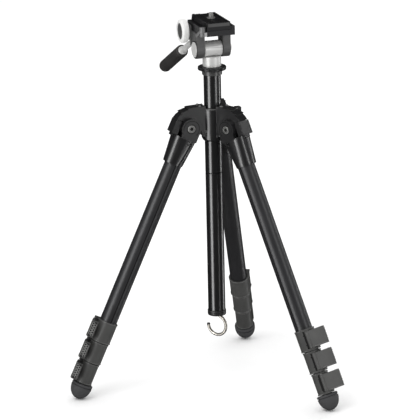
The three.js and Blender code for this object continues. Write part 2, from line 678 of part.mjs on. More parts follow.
// The lower tube screws into the upper one by a spigot.
function columnLowerTube() {
  return turned([
    [lowerTubeBore, capTop + GAP],
    [COLUMN_RADIUS, capTop + GAP],
    [COLUMN_RADIUS, jointHeight - GAP],
    [spigotRadius, jointHeight - GAP],
    [spigotRadius, jointHeight + SPIGOT_LENGTH],
    [lowerTubeBore, jointHeight + SPIGOT_LENGTH],
    [lowerTubeBore, capTop + GAP],
  ]);
}

function endCap() {
  const outer = COLUMN_RADIUS + END_CAP_PROUD;
  return turned([
    [HOOK_HOLE, capBottom],
    [outer - END_CAP_EDGE, capBottom],
    [outer, capBottom + END_CAP_EDGE],
    [outer, capTop],
    [capPlug, capTop],
    [capPlug, capTop + END_CAP_PLUG],
    [capCavity, capTop + END_CAP_PLUG],
    [capCavity, capBottom + END_CAP_FLOOR],
    [HOOK_HOLE, capBottom + END_CAP_FLOOR],
    [HOOK_HOLE, capBottom],
  ]);
}

// The hook swivels on a disc that rests on the floor of the end cap.
function ballastHook() {
  const centre = capBottom - HOOK_DROP;
  const bend = [];
  for (let degrees = HOOK_START; degrees >= HOOK_END; degrees -= HOOK_STEP) {
    const angle = radians(degrees);
    bend.push(new THREE.Vector3(HOOK_RADIUS * Math.cos(angle), 0, centre + HOOK_RADIUS * Math.sin(angle)));
  }
  const [leanStart, leanSlope] = HOOK_LEAN;
  const stem = HOOK_STEM.map((rise) => {
    const sideways = Math.max(0, leanStart - rise) * leanSlope;
    return new THREE.Vector3(sideways, 0, capBottom + rise);
  });
  const path = new THREE.CatmullRomCurve3([...stem, ...bend], false, "centripetal");
  const section = new THREE.Shape().absarc(0, 0, HOOK_WIRE, 0, 2 * Math.PI, false);
  const wire = new THREE.ExtrudeGeometry(section, { steps: 26, curveSegments: 4, extrudePath: path });
  const discLow = capBottom + END_CAP_FLOOR + GAP;
  const disc = drum("z", capCavity - BORE_FIT, discLow, discLow + HOOK_DISC);
  return join(solidOf(wire), disc).rotate([0, 0, HOOK_AZIMUTH]);
}

function buildColumn() {
  const column = new THREE.Group();
  column.add(piece("column_flange", columnFlange(), HEAD_BLACK()));
  column.add(piece("column_upper_tube", columnUpperTube(), GLOSS_BLACK()));
  column.add(piece("column_lower_tube", columnLowerTube(), GLOSS_BLACK()));
  column.add(piece("column_end_cap", endCap(), LOCK_PLASTIC()));
  column.add(piece("ballast_hook", ballastHook(), STEEL()));
  return column;
}

// ---------------------------------------------------------------- pan head, from its tilt axle

const beamTop = WINDOW_TOP + BEAM_THICKNESS;
const bedLow = beamTop + GAP;
const bedHigh = bedLow + BED_THICKNESS;
const plateLow = bedHigh + GAP;
const plateHigh = plateLow + PLATE_THICKNESS;
const plateFloor = plateHigh - PLATE_RIM_HEIGHT;
const jawInner = PLATE_HALF_WIDTH + GAP;
const jawOuter = jawInner + JAW_THICKNESS;
const earInner = NECK_RADIUS + GAP;
const earOuter = jawOuter + YOKE_INSET;
const sidePlateOuter = earOuter + SIDE_PLATE_THICKNESS;
const sideStudAt = [-SIDE_KNOB_BACK, SIDE_KNOB_RISE];
const handlePlane = (earInner + earOuter) / 2;
const leverPost = [jawInner + LEVER_BOSS_RADIUS, PLATE_HALF_LENGTH - LEVER_BOSS_RADIUS - PAST];

// The silver neck, hollow over the column's stud, with a saddle for the barrel on top.
function panBase() {
  const flangeTop = -TILT_AXIS_RISE;
  const socket = HEAD_STUD_RADIUS + BORE_FIT;
  const socketTop = flangeTop + HEAD_STUD_HEIGHT + NECK_SOCKET_ROOM;
  const neck = turned([
    [0, socketTop],
    [socket, socketTop],
    [socket, flangeTop + GAP],
    [NECK_RADIUS, flangeTop + GAP],
    [NECK_RADIUS, -NECK_TOP],
    [0, -NECK_TOP],
  ]);
  const saddle = drum("x", BARREL_RADIUS + GAP, -THROUGH, THROUGH, [0, 0], LARGE_ROUND);
  const post = drum("z", POST_RADIUS, -BARREL_RADIUS - PAST, -AXLE_RADIUS - POST_TOP, [0, 0], SMALL_ROUND);
  return join(cut(neck, saddle), post);
}

function panBarrel() {
  const cover = AXLE_RADIUS + POST_TOP;
  return cut(
    drum("x", BARREL_RADIUS, -NECK_RADIUS, NECK_RADIUS, [0, 0], LARGE_ROUND),
    drum("x", AXLE_RADIUS + BORE_FIT, -THROUGH, THROUGH),
    drum("z", BARREL_HOLE_RADIUS, cover, THROUGH, [0, 0], SMALL_ROUND),
    drum("z", BARREL_HOLE_RADIUS, -THROUGH, GAP - cover, [0, 0], SMALL_ROUND),
  );
}

// A shaft or a hole along the handle's axis, from one distance to another past its root.
function alongHandle(radius, from, to, facets = MEDIUM_ROUND) {
  const geometry = new THREE.CylinderGeometry(radius, radius, to - from, facets);
  geometry.translate(0, -(from + to) / 2, 0).rotateX(radians(HANDLE_ANGLE));
  return solidOf(geometry.translate(handlePlane, ...HANDLE_ROOT));
}

function tiltYoke() {
  const depth = [-EAR_HALF_DEPTH, EAR_HALF_DEPTH];
  const ears = [[earInner, earOuter], [-earOuter, -earInner]].map((x) =>
    join(
      block(x, depth, [0, beamTop]),
      drum("x", EAR_BOSS_RADIUS, ...x, [0, 0], LARGE_ROUND),
    ),
  );
  const beam = block([-earOuter, earOuter], depth, [WINDOW_TOP, beamTop]);
  const lug = block([earInner, earOuter], [-LUG_BACK, 0], [LUG_LOW, beamTop]);
  const sidePlate = block([earOuter, sidePlateOuter], SIDE_PLATE_SPAN, [SIDE_PLATE_LOW, bedHigh]);
  return cut(
    join(...ears, beam, lug, sidePlate),
    drum("x", AXLE_RADIUS + BORE_FIT, -THROUGH, THROUGH),
    alongHandle(HANDLE_ROD_RADIUS + BORE_FIT, -HANDLE_SOCKET, THROUGH, SMALL_ROUND),
    drum("x", SIDE_STUD_RADIUS + BORE_FIT, 0, THROUGH, sideStudAt, SMALL_ROUND),
  );
}

// The tilt axle, with a cap disc on the handle side and a nut on the other.
function tiltAxle() {
  const seat = earOuter + GAP;
  const [nutEnd, capEnd] = AXLE_END;
  return join(
    drum("x", AXLE_RADIUS, -seat - nutEnd, seat + capEnd),
    drum("x", AXLE_CAP_RADIUS, seat, seat + AXLE_CAP_HEIGHT, [0, 0], LARGE_ROUND),
    drum("x", AXLE_NUT_RADIUS, -seat - AXLE_NUT_HEIGHT, -seat, [0, 0], 6),
  );
}

function handleRod() {
  const [collarRadius, collarLength] = HANDLE_COLLAR;
  return join(
    alongHandle(HANDLE_ROD_RADIUS, GAP - HANDLE_SOCKET, HANDLE_ROD_LENGTH + HANDLE_INSERT),
    alongHandle(collarRadius, HANDLE_ROD_LENGTH - collarLength, HANDLE_ROD_LENGTH - GAP),
  );
}

function handleGrip() {
  const end = HANDLE_ROD_LENGTH + HANDLE_GRIP_LENGTH;
  const bore = HANDLE_ROD_RADIUS + BORE_FIT;
  const boreEnd = HANDLE_ROD_LENGTH + HANDLE_INSERT + GAP;
  const profile = [
    [0, boreEnd],
    [bore, boreEnd],
    [bore, HANDLE_ROD_LENGTH],
    [HANDLE_GRIP_RADIUS - GRIP_EDGE, HANDLE_ROD_LENGTH],
    [HANDLE_GRIP_RADIUS, HANDLE_ROD_LENGTH + GRIP_EDGE],
    ...GRIP_NOSE.map(([radius, back]) => [radius, end - back]),
    [0, end],
  ];
  const points = profile.map(([radius, run]) => new THREE.Vector2(radius, -run));
  const geometry = new THREE.LatheGeometry(points, MEDIUM_ROUND).rotateX(radians(HANDLE_ANGLE));
  return solidOf(geometry.translate(handlePlane, ...HANDLE_ROOT));
}

// The big side knob: its stud passes the yoke's side plate and draws the lever-side jaw in.
function sideKnob() {
  const near = sidePlateOuter + GAP;
  return join(
    drum("x", SIDE_KNOB_RADIUS, near, near + SIDE_KNOB_THICKNESS, sideStudAt, LARGE_ROUND),
    drum("x", SIDE_STUD_RADIUS, earInner, near + PAST, sideStudAt, SMALL_ROUND),
  );
}

// The bed that the plate slides in, with a jaw along each side and a lug for the side knob's stud.
function quickReleaseClamp() {
  const length = [-PLATE_HALF_LENGTH, PLATE_HALF_LENGTH];
  const leverCorner = leverPost[1] - LEVER_BOSS_RADIUS - LEVER_CLEAR;
  const [nearHeight, farHeight] = JAW_HEIGHTS;
  const bed = block([-jawOuter, jawInner - GAP], length, [bedLow, bedHigh]);
  const nearJaw = block([0, jawOuter], [length[0], leverCorner], [bedLow, bedHigh + nearHeight]);
  const farJaw = block([-jawOuter, -jawInner], length, [bedLow, bedHigh + farHeight]);
  const channel = block([-jawInner, jawInner], [-THROUGH, THROUGH], [bedHigh, THROUGH]);
  const lug = block(
    [CLAMP_LUG_INNER, jawOuter],
    [length[0], -LUG_BACK - CLAMP_LUG_ROOM],
    [SIDE_KNOB_RISE - CLAMP_LUG_DEPTH, bedLow + PAST],
  );
  const studHole = drum("x", SIDE_STUD_RADIUS + BORE_FIT, earInner - PAST, THROUGH, sideStudAt, SMALL_ROUND);
  return cut(join(bed, nearJaw, farJaw, lug), channel, studHole);
}

// A camera plate with drafted sides, a raised rim along each side and a screw recess underneath.
function quickReleasePlate() {
  const outline = (inset) => {
    const x = PLATE_HALF_WIDTH - inset;
    const y = PLATE_HALF_LENGTH - inset;
    return [[-x, -y], [x, -y], [x, y], [-x, y]];
  };
  const body = loft([
    { outline: outline(0), z: plateLow },
    { outline: outline(0), z: plateLow + PLATE_SKIRT },
    { outline: outline(PLATE_DRAFT), z: plateHigh },
  ]);
  const inside = PLATE_HALF_WIDTH - PLATE_DRAFT - PLATE_RIM;
  return cut(
    body,
    block([-inside, inside], [-THROUGH, THROUGH], [plateFloor, THROUGH]),
    drum("z", CAMERA_SCREW_RADIUS + BORE_FIT, 0, THROUGH),
    drum("z", CAMERA_SCREW_HEAD + BORE_FIT, 0, plateLow + CAMERA_SCREW_RECESS),
  );
}

function cameraScrew() {
  const [ringRadius, ringTop] = CAMERA_SCREW_RING;
  const headTop = plateLow + CAMERA_SCREW_RECESS - GAP;
  return join(
    drum("z", CAMERA_SCREW_RADIUS, headTop - PAST, plateHigh + CAMERA_SCREW_PROUD),
    drum("z", ringRadius, plateFloor + GAP, plateFloor + ringTop),
    drum("z", CAMERA_SCREW_HEAD, plateLow + GAP, headTop),
  );
}

// The release lever: a post that turns in the corner of the bed, with a finger bar sloping down.
function quickReleaseLever() {
  const [x, y] = leverPost;
  const top = bedHigh + JAW_HEIGHTS[0] + LEVER_BOSS_RISE;
  const root = x + LEVER_BOSS_RADIUS - LEVER_BOSS_RISE;
  const tip = bedHigh + LEVER_BAR_ROOT[0] - LEVER_BAR_DROP;
  const outline = [
    [root, bedHigh + LEVER_BAR_ROOT[0]],
    [root + LEVER_BAR_RUN, tip],
    [root + LEVER_BAR_RUN, tip + LEVER_BAR_TIP],
    [root, bedHigh + LEVER_BAR_ROOT[1]],
  ];
  const shape = new THREE.Shape(outline.map(([u, v]) => new THREE.Vector2(u, v)));
  const bar = new THREE.ExtrudeGeometry(shape, { depth: LEVER_BAR_DEPTH, bevelEnabled: false });
  return join(
    drum("z", LEVER_BOSS_RADIUS - GAP, bedLow, top, [x, y]),
    solidOf(bar.rotateX(Math.PI / 2).translate(0, y + LEVER_BAR_DEPTH / 2, 0)),
  );
}

function buildHead() {
  const head = new THREE.Group();
  head.add(piece("pan_base", panBase(), SATIN_SILVER()));
  head.add(piece("pan_barrel", panBarrel(), SATIN_SILVER()));
  head.add(piece("tilt_yoke", tiltYoke(), HEAD_GREY()));
  head.add(piece("tilt_axle", tiltAxle(), SATIN_SILVER()));
  head.add(piece("handle_rod", handleRod(), SATIN_SILVER()));
  head.add(piece("handle_grip", handleGrip(), RUBBER()));
  head.add(piece("side_knob", sideKnob(), SATIN_SILVER()));
  head.add(piece("quick_release_clamp", quickReleaseClamp(), HEAD_BLACK()));
  head.add(piece("quick_release_plate", quickReleasePlate(), HEAD_BLACK()));
  head.add(piece("camera_screw", cameraScrew(), STEEL()));
  head.add(piece("quick_release_lever", quickReleaseLever(), HEAD_GREY()));
  return head;
}

// ---------------------------------------------------------------- assembly

function buildTripod() {
  const tripod = new THREE.Group();
  const pivots = pivotHeight();
  const flange = pivots + SLEEVE_TOP + COLUMN_RAISED + FLANGE_COLLAR_HEIGHT;

  const hub = new THREE.Group();
  hub.position.z = pivots;
  hub.add(piece("spider", spider(), GLOSS_BLACK()));
  const knob = piece("column_lock_knob", columnLockKnob(), LOCK_PLASTIC());
  knob.rotation.z = radians(LOCK_KNOB_AZIMUTH);
  hub.add(knob);
  tripod.add(hub);

  LEG_NAMES.forEach((name, i) => {
    const spread = new THREE.Group();
    spread.rotation.z = radians(LEG_AZIMUTHS[i]);
    const leg = buildLeg(name);
    leg.position.set(pivotRadius, 0, pivots);
    leg.rotation.y = -radians(LEG_ANGLE);
    spread.add(leg);
    tripod.add(spread);
  });

  const column = buildColumn();
  column.position.z = flange;
  tripod.add(column);

  const head = buildHead();
  head.position.z = flange + FLANGE_HEIGHT + TILT_AXIS_RISE;
  head.rotation.z = radians(HEAD_AZIMUTH);
  tripod.add(head);
  return tripod;
}

// The column axis stands off the origin, so that the origin is the middle of the footprint.
function centredOnFootprint(object) {
  const box = new THREE.Box3().setFromObject(object, true);
  const middle = box.getCenter(new THREE.Vector3());
  object.position.set(-middle.x, -middle.y, -box.min.z);
  return object;
}

export default centredOnFootprint(buildTripod());
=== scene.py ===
import json
import logging
import math
from contextlib import contextmanager
from dataclasses import dataclass, field
from enum import Enum
from typing import Iterator, Sequence

import bpy
from mathutils import Matrix, Vector


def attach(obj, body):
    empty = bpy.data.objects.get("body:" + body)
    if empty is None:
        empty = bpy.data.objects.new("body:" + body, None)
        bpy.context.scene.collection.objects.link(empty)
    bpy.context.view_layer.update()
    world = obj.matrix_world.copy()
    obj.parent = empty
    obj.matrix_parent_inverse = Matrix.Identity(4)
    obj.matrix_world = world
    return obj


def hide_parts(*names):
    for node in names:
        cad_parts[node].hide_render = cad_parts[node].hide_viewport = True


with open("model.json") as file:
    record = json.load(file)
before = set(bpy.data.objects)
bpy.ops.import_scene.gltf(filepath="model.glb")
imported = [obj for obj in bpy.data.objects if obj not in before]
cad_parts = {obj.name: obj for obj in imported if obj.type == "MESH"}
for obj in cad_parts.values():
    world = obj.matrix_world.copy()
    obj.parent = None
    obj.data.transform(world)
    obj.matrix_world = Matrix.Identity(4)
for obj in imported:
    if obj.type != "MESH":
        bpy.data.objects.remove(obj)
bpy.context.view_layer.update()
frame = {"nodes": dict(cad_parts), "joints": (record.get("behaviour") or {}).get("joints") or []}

LOG = logging.getLogger("tripod")
MM = 0.001
LEGS = ("left_leg", "right_leg", "back_leg")
JOINTS = {joint["name"]: joint for joint in frame["joints"]}
Profile = Sequence[tuple[float, float]]
Span = tuple[float, float]
Box = tuple[Span, Span, Span]


# ---------------------------------------------------------------- places


@dataclass(frozen=True)
class Place:
    """A local frame in millimetres, in which a sub-assembly is modelled upright."""

    matrix: Matrix

    @classmethod
    def at(cls, origin: Vector, x_axis: Vector, z_axis: Vector) -> "Place":
        """Makes a place from its origin and two of its axes.

        Args:
            origin: The origin in the frame, in metres.
            x_axis: The direction of local X.
            z_axis: The direction of local Z.

        Returns:
            The place.
        """
        z = Vector(z_axis).normalized()
        y = z.cross(Vector(x_axis)).normalized()
        x = y.cross(z)
        turn = Matrix((x, y, z)).transposed().to_4x4()
        return cls(Matrix.Translation(Vector(origin)) @ turn @ Matrix.Scale(MM, 4))

    def inside(self, origin: Sequence[float], x_axis: Sequence[float], z_axis: Sequence[float]) -> "Place":
        """Makes a place within this one, in the same millimetres.

        Args:
            origin: Its origin, in this place.
            x_axis: Its local X, in this place.
            z_axis: Its local Z, in this place.

        Returns:
            The inner place.
        """
        z = Vector(z_axis).normalized()
        y = z.cross(Vector(x_axis)).normalized()
        turn = Matrix((y.cross(z), y, z)).transposed().to_4x4()
        return Place(self.matrix @ (Matrix.Translation(Vector(origin)) @ turn))

    def box(self, node: str) -> tuple[Vector, Vector]:
        """Measures a CAD node along this place's own axes.

        Args:
            node: The node's name.

        Returns:
            Its lowest and highest corner, in millimetres.
        """
        back = self.matrix.inverted()
        points = [back @ vertex.co for vertex in frame["nodes"][node].data.vertices]
        low = Vector([min(point[i] for point in points) for i in range(3)])
        high = Vector([max(point[i] for point in points) for i in range(3)])
        return low, high


def leg_place(leg: str) -> Place:
    """Returns the place of a leg: from its pivot, X outward, Y along the pivot bolt, Z up the leg."""
    down = Vector(JOINTS[f"{leg}_extend_2"]["axis"])
    bolt = Vector(JOINTS[f"{leg}_fold"]["axis"])
    return Place.at(Vector(JOINTS[f"{leg}_fold"]["pos_m"]), bolt.cross(-down), -down)


def column_place() -> Place:
    """Returns the place of the centre column: on its axis, at floor level, along the frame's own axes."""
    x, y, _ = JOINTS["pan"]["pos_m"]
    return Place.at(Vector((x, y, 0)), Vector((1, 0, 0)), Vector((0, 0, 1)))


def spider_place() -> Place:
    """Returns the place of the spider: on the column's axis, at the height of the legs' pivots."""
    pivot = JOINTS[f"{LEGS[0]}_fold"]["pos_m"][2]
    return Place(Matrix.Translation((0, 0, pivot)) @ column_place().matrix)


def head_place() -> Place:
    """Returns the place of the head: origin on the tilt axle, X along the axle, Y to the front."""
    return Place.at(Vector(JOINTS["tilt"]["pos_m"]), Vector(JOINTS["tilt"]["axis"]), Vector((0, 0, 1)))


# ---------------------------------------------------------------- finishes


class Grain(Enum):
    """How a surface is broken up at a small scale: size of the grain in cells per metre, and its depth."""

    POLISHED = (900.0, 0.000004)
    SATIN = (2600.0, 0.000010)
    BLASTED = (1900.0, 0.000030)
    MOULDED = (1500.0, 0.000055)
    RUBBERY = (1100.0, 0.000060)


@dataclass(frozen=True)
class Finish:
    """A surface finish, with a slow change of tone over a fine grain."""

    name: str
    slot: str
    dark: tuple[float, float, float]
    light: tuple[float, float, float]
    roughness: Span
    metallic: float = 0.0
    coat: float = 0.0
    specular: float = 0.5
    grain: Grain = Grain.SATIN
    drawn: float = 1.0  # stretch of the grain along Z, as on a drawn or brushed part

    def material(self) -> bpy.types.Material:
        """Returns the finish's material, which is made on first use."""
        found = bpy.data.materials.get(self.name)
        return found or self._make()

    def _make(self) -> bpy.types.Material:
        """Builds the material's nodes.

        Returns:
            The new material.
        """
        material = bpy.data.materials.new(self.name)
        material.use_nodes = True
        nodes, links = material.node_tree.nodes, material.node_tree.links
        shader = next(node for node in nodes if node.type == "BSDF_PRINCIPLED")
        shader.inputs["Metallic"].default_value = self.metallic
        shader.inputs["Coat Weight"].default_value = self.coat
        shader.inputs["Coat Roughness"].default_value = 0.08
        shader.inputs["Specular IOR Level"].default_value = self.specular
        place = nodes.new("ShaderNodeTexCoord")
        stretch = nodes.new("ShaderNodeMapping")
        stretch.inputs["Scale"].default_value = (1.0, 1.0, 1.0 / self.drawn)
        links.new(place.outputs["Object"], stretch.inputs["Vector"])

        tone = nodes.new("ShaderNodeTexNoise")
        tone.inputs["Scale"].default_value = 45.0
        tone.inputs["Detail"].default_value = 5.0
        links.new(stretch.outputs["Vector"], tone.inputs["Vector"])
        blend = nodes.new("ShaderNodeMix")
        blend.data_type = "RGBA"
        blend.inputs[6].default_value = (*self.dark, 1.0)
        blend.inputs[7].default_value = (*self.light, 1.0)
        links.new(tone.outputs["Fac"], blend.inputs["Factor"])
        links.new(blend.outputs[2], shader.inputs["Base Color"])

        scale, depth = self.grain.value
        cells = nodes.new("ShaderNodeTexNoise")
        cells.inputs["Scale"].default_value = scale
        cells.inputs["Detail"].default_value = 3.0
        links.new(stretch.outputs["Vector"], cells.inputs["Vector"])
        gloss = nodes.new("ShaderNodeMapRange")
        gloss.inputs["To Min"].default_value = self.roughness[0]
        gloss.inputs["To Max"].default_value = self.roughness[1]
        links.new(tone.outputs["Fac"], gloss.inputs["Value"])
        links.new(gloss.outputs["Result"], shader.inputs["Roughness"])
        bump = nodes.new("ShaderNodeBump")
        bump.inputs["Distance"].default_value = depth
        links.new(cells.outputs["Fac"], bump.inputs["Height"])
        links.new(bump.outputs["Normal"], shader.inputs["Normal"])
        return material


GLOSS_CASTING = Finish(
    "gloss_black_casting", "black_casting", (0.006, 0.006, 0.0065), (0.011, 0.011, 0.012),
    (0.28, 0.38), coat=0.15, specular=0.7,
)
GLOSS_TUBE = Finish(
    "gloss_black_tube", "gloss_tube", (0.005, 0.005, 0.0055), (0.009, 0.009, 0.010),
    (0.24, 0.32), coat=0.2, specular=0.8, grain=Grain.POLISHED, drawn=12.0,
)
ANODISED_TUBE = Finish(
    "charcoal_anodised_tube", "anodised_tube", (0.018, 0.018, 0.0195), (0.027, 0.027, 0.0295),
    (0.36, 0.46), metallic=0.2, drawn=6.0,
)
BLACK_METAL = Finish(
    "black_anodised_rim", "black_metal", (0.012, 0.012, 0.013), (0.02, 0.02, 0.021),
    (0.28, 0.38), metallic=0.4,
)
LOCK_PLASTIC = Finish(
    "moulded_grey_plastic", "lock_plastic", (0.034, 0.034, 0.033), (0.078, 0.078, 0.075),
    (0.4, 0.5), specular=0.35, grain=Grain.MOULDED,
)
# Pale, painted as highlights: on the lock rims, on the bars under the levers and on the spider's sleeve
# rim.
PAINTED_HIGHLIGHT = Finish(
    "painted_highlight_lip", "lock_plastic", (0.07, 0.07, 0.068), (0.11, 0.11, 0.107),
    (0.3, 0.4),
)
HONEYCOMB = Finish(
    "honeycomb_outline", "lock_plastic", (0.2, 0.2, 0.195), (0.28, 0.28, 0.27),
    (0.4, 0.5),
)
# Near black, painted as the shade in grooves, slots, sockets, honeycomb cells and the gaps round the ears.
SLOT_SHADOW = Finish(
    "painted_slot_shadow", "lock_plastic", (0.006, 0.006, 0.006), (0.012, 0.012, 0.012),
    (0.7, 0.8), specular=0.2, grain=Grain.MOULDED,
)
TAB_PLASTIC = Finish(
    "satin_black_plastic", "tab_plastic", (0.009, 0.009, 0.0095), (0.014, 0.014, 0.0145),
    (0.32, 0.42), grain=Grain.BLASTED,
)
CAP_PLASTIC = Finish(
    "black_cap_plastic", "cap_plastic", (0.011, 0.011, 0.0115), (0.017, 0.017, 0.0175),
    (0.35, 0.45), grain=Grain.BLASTED,
)
FOOT_RUBBER = Finish(
    "grey_foot_rubber", "foot_rubber", (0.036, 0.036, 0.038), (0.056, 0.056, 0.059),
    (0.68, 0.8), specular=0.35, grain=Grain.RUBBERY,
)
GRIP_RUBBER = Finish(
    "black_grip_rubber", "grip_rubber", (0.020, 0.019, 0.018), (0.034, 0.032, 0.030),
    (0.6, 0.72), specular=0.4, grain=Grain.RUBBERY,
)
BOLT_STEEL = Finish(
    "nickel_steel", "bolt_steel", (0.2, 0.2, 0.195), (0.3, 0.3, 0.29),
    (0.3, 0.42), metallic=0.6,
)
BLACK_STEEL = Finish(
    "blackened_steel", "bolt_steel", (0.05, 0.05, 0.05), (0.09, 0.09, 0.09),
    (0.3, 0.42), metallic=0.8,
)
HOOK_STEEL = Finish(
    "polished_hook_steel", "hook_steel", (0.34, 0.32, 0.29), (0.46, 0.44, 0.4),
    (0.2, 0.32), metallic=0.8, grain=Grain.POLISHED,
)
WHITE_KNOB = Finish(
    "white_anodised_knob", "satin_silver", (0.74, 0.74, 0.73), (0.82, 0.82, 0.81),
    (0.45, 0.55), metallic=0.05,
)
SATIN_SILVER = Finish(
    "satin_silver_plating", "satin_silver", (0.55, 0.55, 0.54), (0.66, 0.66, 0.65),
    (0.36, 0.46), metallic=0.25, specular=0.4,
)
LEVER_GREY = Finish(
    "cast_lever_grey", "satin_silver", (0.13, 0.13, 0.13), (0.18, 0.18, 0.18),
    (0.4, 0.5), metallic=0.3, grain=Grain.BLASTED,
)
KNOB_INSERT = Finish(
    "grey_insert", "satin_silver", (0.06, 0.06, 0.06), (0.085, 0.085, 0.085),
    (0.55, 0.65), metallic=0.1, grain=Grain.BLASTED,
)
HEAD_GREY = Finish(
    "satin_grey_paint", "head_grey", (0.05, 0.05, 0.05), (0.075, 0.075, 0.075),
    (0.3, 0.4), metallic=0.1, specular=0.5, grain=Grain.BLASTED,
)
HEAD_BLACK = Finish(
    "satin_black_paint", "head_black", (0.009, 0.009, 0.0105), (0.015, 0.015, 0.017),
    (0.36, 0.46), specular=0.3, grain=Grain.BLASTED,
)
PLATE_BLACK = Finish(
    "anodised_plate", "plate_black", (0.006, 0.006, 0.0072), (0.010, 0.010, 0.012),
    (0.4, 0.5), specular=0.25, grain=Grain.BLASTED,
)
PANEL_GREY = Finish(
    "brushed_front_panel", "head_grey", (0.045, 0.045, 0.045), (0.06, 0.06, 0.06),
    (0.35, 0.45), metallic=0.2,
)
LIP_SILVER = Finish(
    "bright_front_lip", "satin_silver", (0.26, 0.26, 0.26), (0.34, 0.34, 0.34),
    (0.35, 0.45), metallic=0.2,
)
PLATE_RUBBER = Finish(
    "plate_rubber", "plate_black", (0.004, 0.004, 0.0045), (0.007, 0.007, 0.0075),
    (0.7, 0.8), specular=0.3, grain=Grain.RUBBERY,
)


# ---------------------------------------------------------------- the bench: modelling by operators

ROUND = 64  # segments of a full turn
SMALL_TURN = 32
DOUBLES = 0.0005  # millimetres, between points that are one


def select_only(piece: bpy.types.Object) -> None:
    """Deselects everything, then selects one object and makes it the active one."""
    bpy.ops.object.select_all(action="DESELECT")
    piece.select_set(True)
    bpy.context.view_layer.objects.active = piece


def named(name: str) -> bpy.types.Object:
    """Names the active object and its mesh, and returns the object."""
    piece = bpy.context.active_object
    piece.name = name
    piece.data.name = name
    return piece


@contextmanager
def editing(piece: bpy.types.Object) -> Iterator[None]:
    """Opens a piece in edit mode with everything selected, and closes it again.

    Args:
        piece: The object to edit.
    """
    select_only(piece)
    bpy.ops.object.mode_set(mode="EDIT")
    bpy.ops.mesh.select_mode(type="VERT")
    bpy.ops.mesh.select_all(action="SELECT")
    yield
    bpy.ops.object.mode_set(mode="OBJECT")


def turned(name: str, profile: Profile, segments: int = ROUND) -> bpy.types.Object:
    """Turns a profile about Z, as on a lathe. It starts and ends on the axis, or closes on itself.

    Args:
        name: The new object's name.
        profile: Pairs of radius and height, in millimetres.
        segments: Facets of the full turn.

    Returns:
        The turned object.
    """
    bpy.ops.object.select_all(action="DESELECT")
    bpy.ops.mesh.primitive_circle_add(vertices=3, radius=1.0, location=(0, 0, 0))
    piece = named(name)
    with editing(piece):
        bpy.ops.mesh.merge(type="CENTER")
        bpy.ops.transform.translate(value=(profile[0][0], 0, profile[0][1]))
        for (radius, height), (next_radius, next_height) in zip(profile, profile[1:]):
            step = (next_radius - radius, 0, next_height - height)
            bpy.ops.mesh.extrude_vertices_move(TRANSFORM_OT_translate={"value": step})
        bpy.ops.mesh.select_all(action="SELECT")
        bpy.ops.mesh.spin(steps=segments, angle=2 * math.pi, center=(0, 0, 0), axis=(0, 0, 1))
        bpy.ops.mesh.select_all(action="SELECT")
        bpy.ops.mesh.remove_doubles(threshold=DOUBLES)
        bpy.ops.mesh.normals_make_consistent(inside=False)
    return piece


def drum(name: str, radius: float, low: float, high: float, segments: int = ROUND) -> bpy.types.Object:
    """Returns a solid cylinder about Z, from one height to another."""
    return turned(name, [(0, low), (radius, low), (radius, high), (0, high)], segments)


def ring(
    name: str, outer: float, inner: float, low: float, high: float, edge: float = 0.0, segments: int = ROUND
) -> bpy.types.Object:
    """Makes a ring or a tube about Z, from one height to another.

    Args:
        name: The new object's name.
        outer: Its outer radius.
        inner: The radius of its bore.
        low: Its lower end.
        high: Its upper end.
        edge: Width of the chamfers of its outer edges.
        segments: Facets of the full turn.

    Returns:
        The ring.
    """
    wall = [(outer, low), (outer, high)]
    if edge:
        wall = [(outer - edge, low), (outer, low + edge), (outer, high - edge), (outer - edge, high)]
    return turned(name, [(inner, low), *wall, (inner, high), (inner, low)], segments)


def beside(side: int, near: float, far: float) -> Span:
    """Returns the span between two distances from a middle plane, on the side that is -1 or 1."""
    start, end = sorted((side * near, side * far))
    return start, end


def block(name: str, x: Span, y: Span, z: Span) -> bpy.types.Object:
    """Makes a block between two corners, for further shaping.

    Args:
        name: The new object's name.
        x: Its extent along X.
        y: Its extent along Y.
        z: Its extent along Z.

    Returns:
        The block.
    """
    bpy.ops.object.select_all(action="DESELECT")
    middle = [sum(span) / 2 for span in (x, y, z)]
    size = [span[1] - span[0] for span in (x, y, z)]
    bpy.ops.mesh.primitive_cube_add(size=1.0, location=middle, scale=size)
    piece = named(name)
    bpy.ops.object.transform_apply(location=True, rotation=True, scale=True)
    return piece


def moved(piece: bpy.types.Object, matrix: Matrix) -> bpy.types.Object:
    """Moves a piece by a matrix and applies it, so that the object stays at the origin."""
    select_only(piece)
    piece.matrix_world = matrix
    bpy.ops.object.transform_apply(location=True, rotation=True, scale=True)
    return piece


def laid(piece: bpy.types.Object, axis: str, origin: Sequence[float] = (0, 0, 0)) -> bpy.types.Object:
    """Turns a piece made about Z so that it lies along X or Y, and moves its origin.

    Args:
        piece: The object, with its own axis along Z.
        axis: "x" or "y", the direction that its Z takes, or "-x" or "-y".
        origin: Where its origin goes.

    Returns:
        The same object.
    """
    turns = {"x": ("Y", 90), "-x": ("Y", -90), "y": ("X", -90), "-y": ("X", 90)}
    about, degrees = turns[axis]
    turn = Matrix.Rotation(math.radians(degrees), 4, about)
    return moved(piece, Matrix.Translation(Vector(origin)) @ turn)


def applied(piece: bpy.types.Object, kind: str, **settings: object) -> bpy.types.Object:
    """Adds a modifier with the given settings and applies it.

    Args:
        piece: The object.
        kind: The modifier's type.
        **settings: The modifier's properties.

    Returns:
        The same object.
    """
    modifier = piece.modifiers.new(kind.title(), kind)
    for key, value in settings.items():
        setattr(modifier, key, value)
    select_only(piece)
    bpy.ops.object.modifier_apply(modifier=modifier.name)
    return piece


def carved(piece: bpy.types.Object, *cutters: bpy.types.Object) -> bpy.types.Object:
    """Cuts pieces away from one piece, and removes them.

    Args:
        piece: The object that stays.
        *cutters: The objects to cut away.

    Returns:
        The object that stays.
    """
    for cutter in cutters:
        applied(piece, "BOOLEAN", operation="DIFFERENCE", solver="EXACT", object=cutter)
        bpy.data.objects.remove(cutter)
    return piece


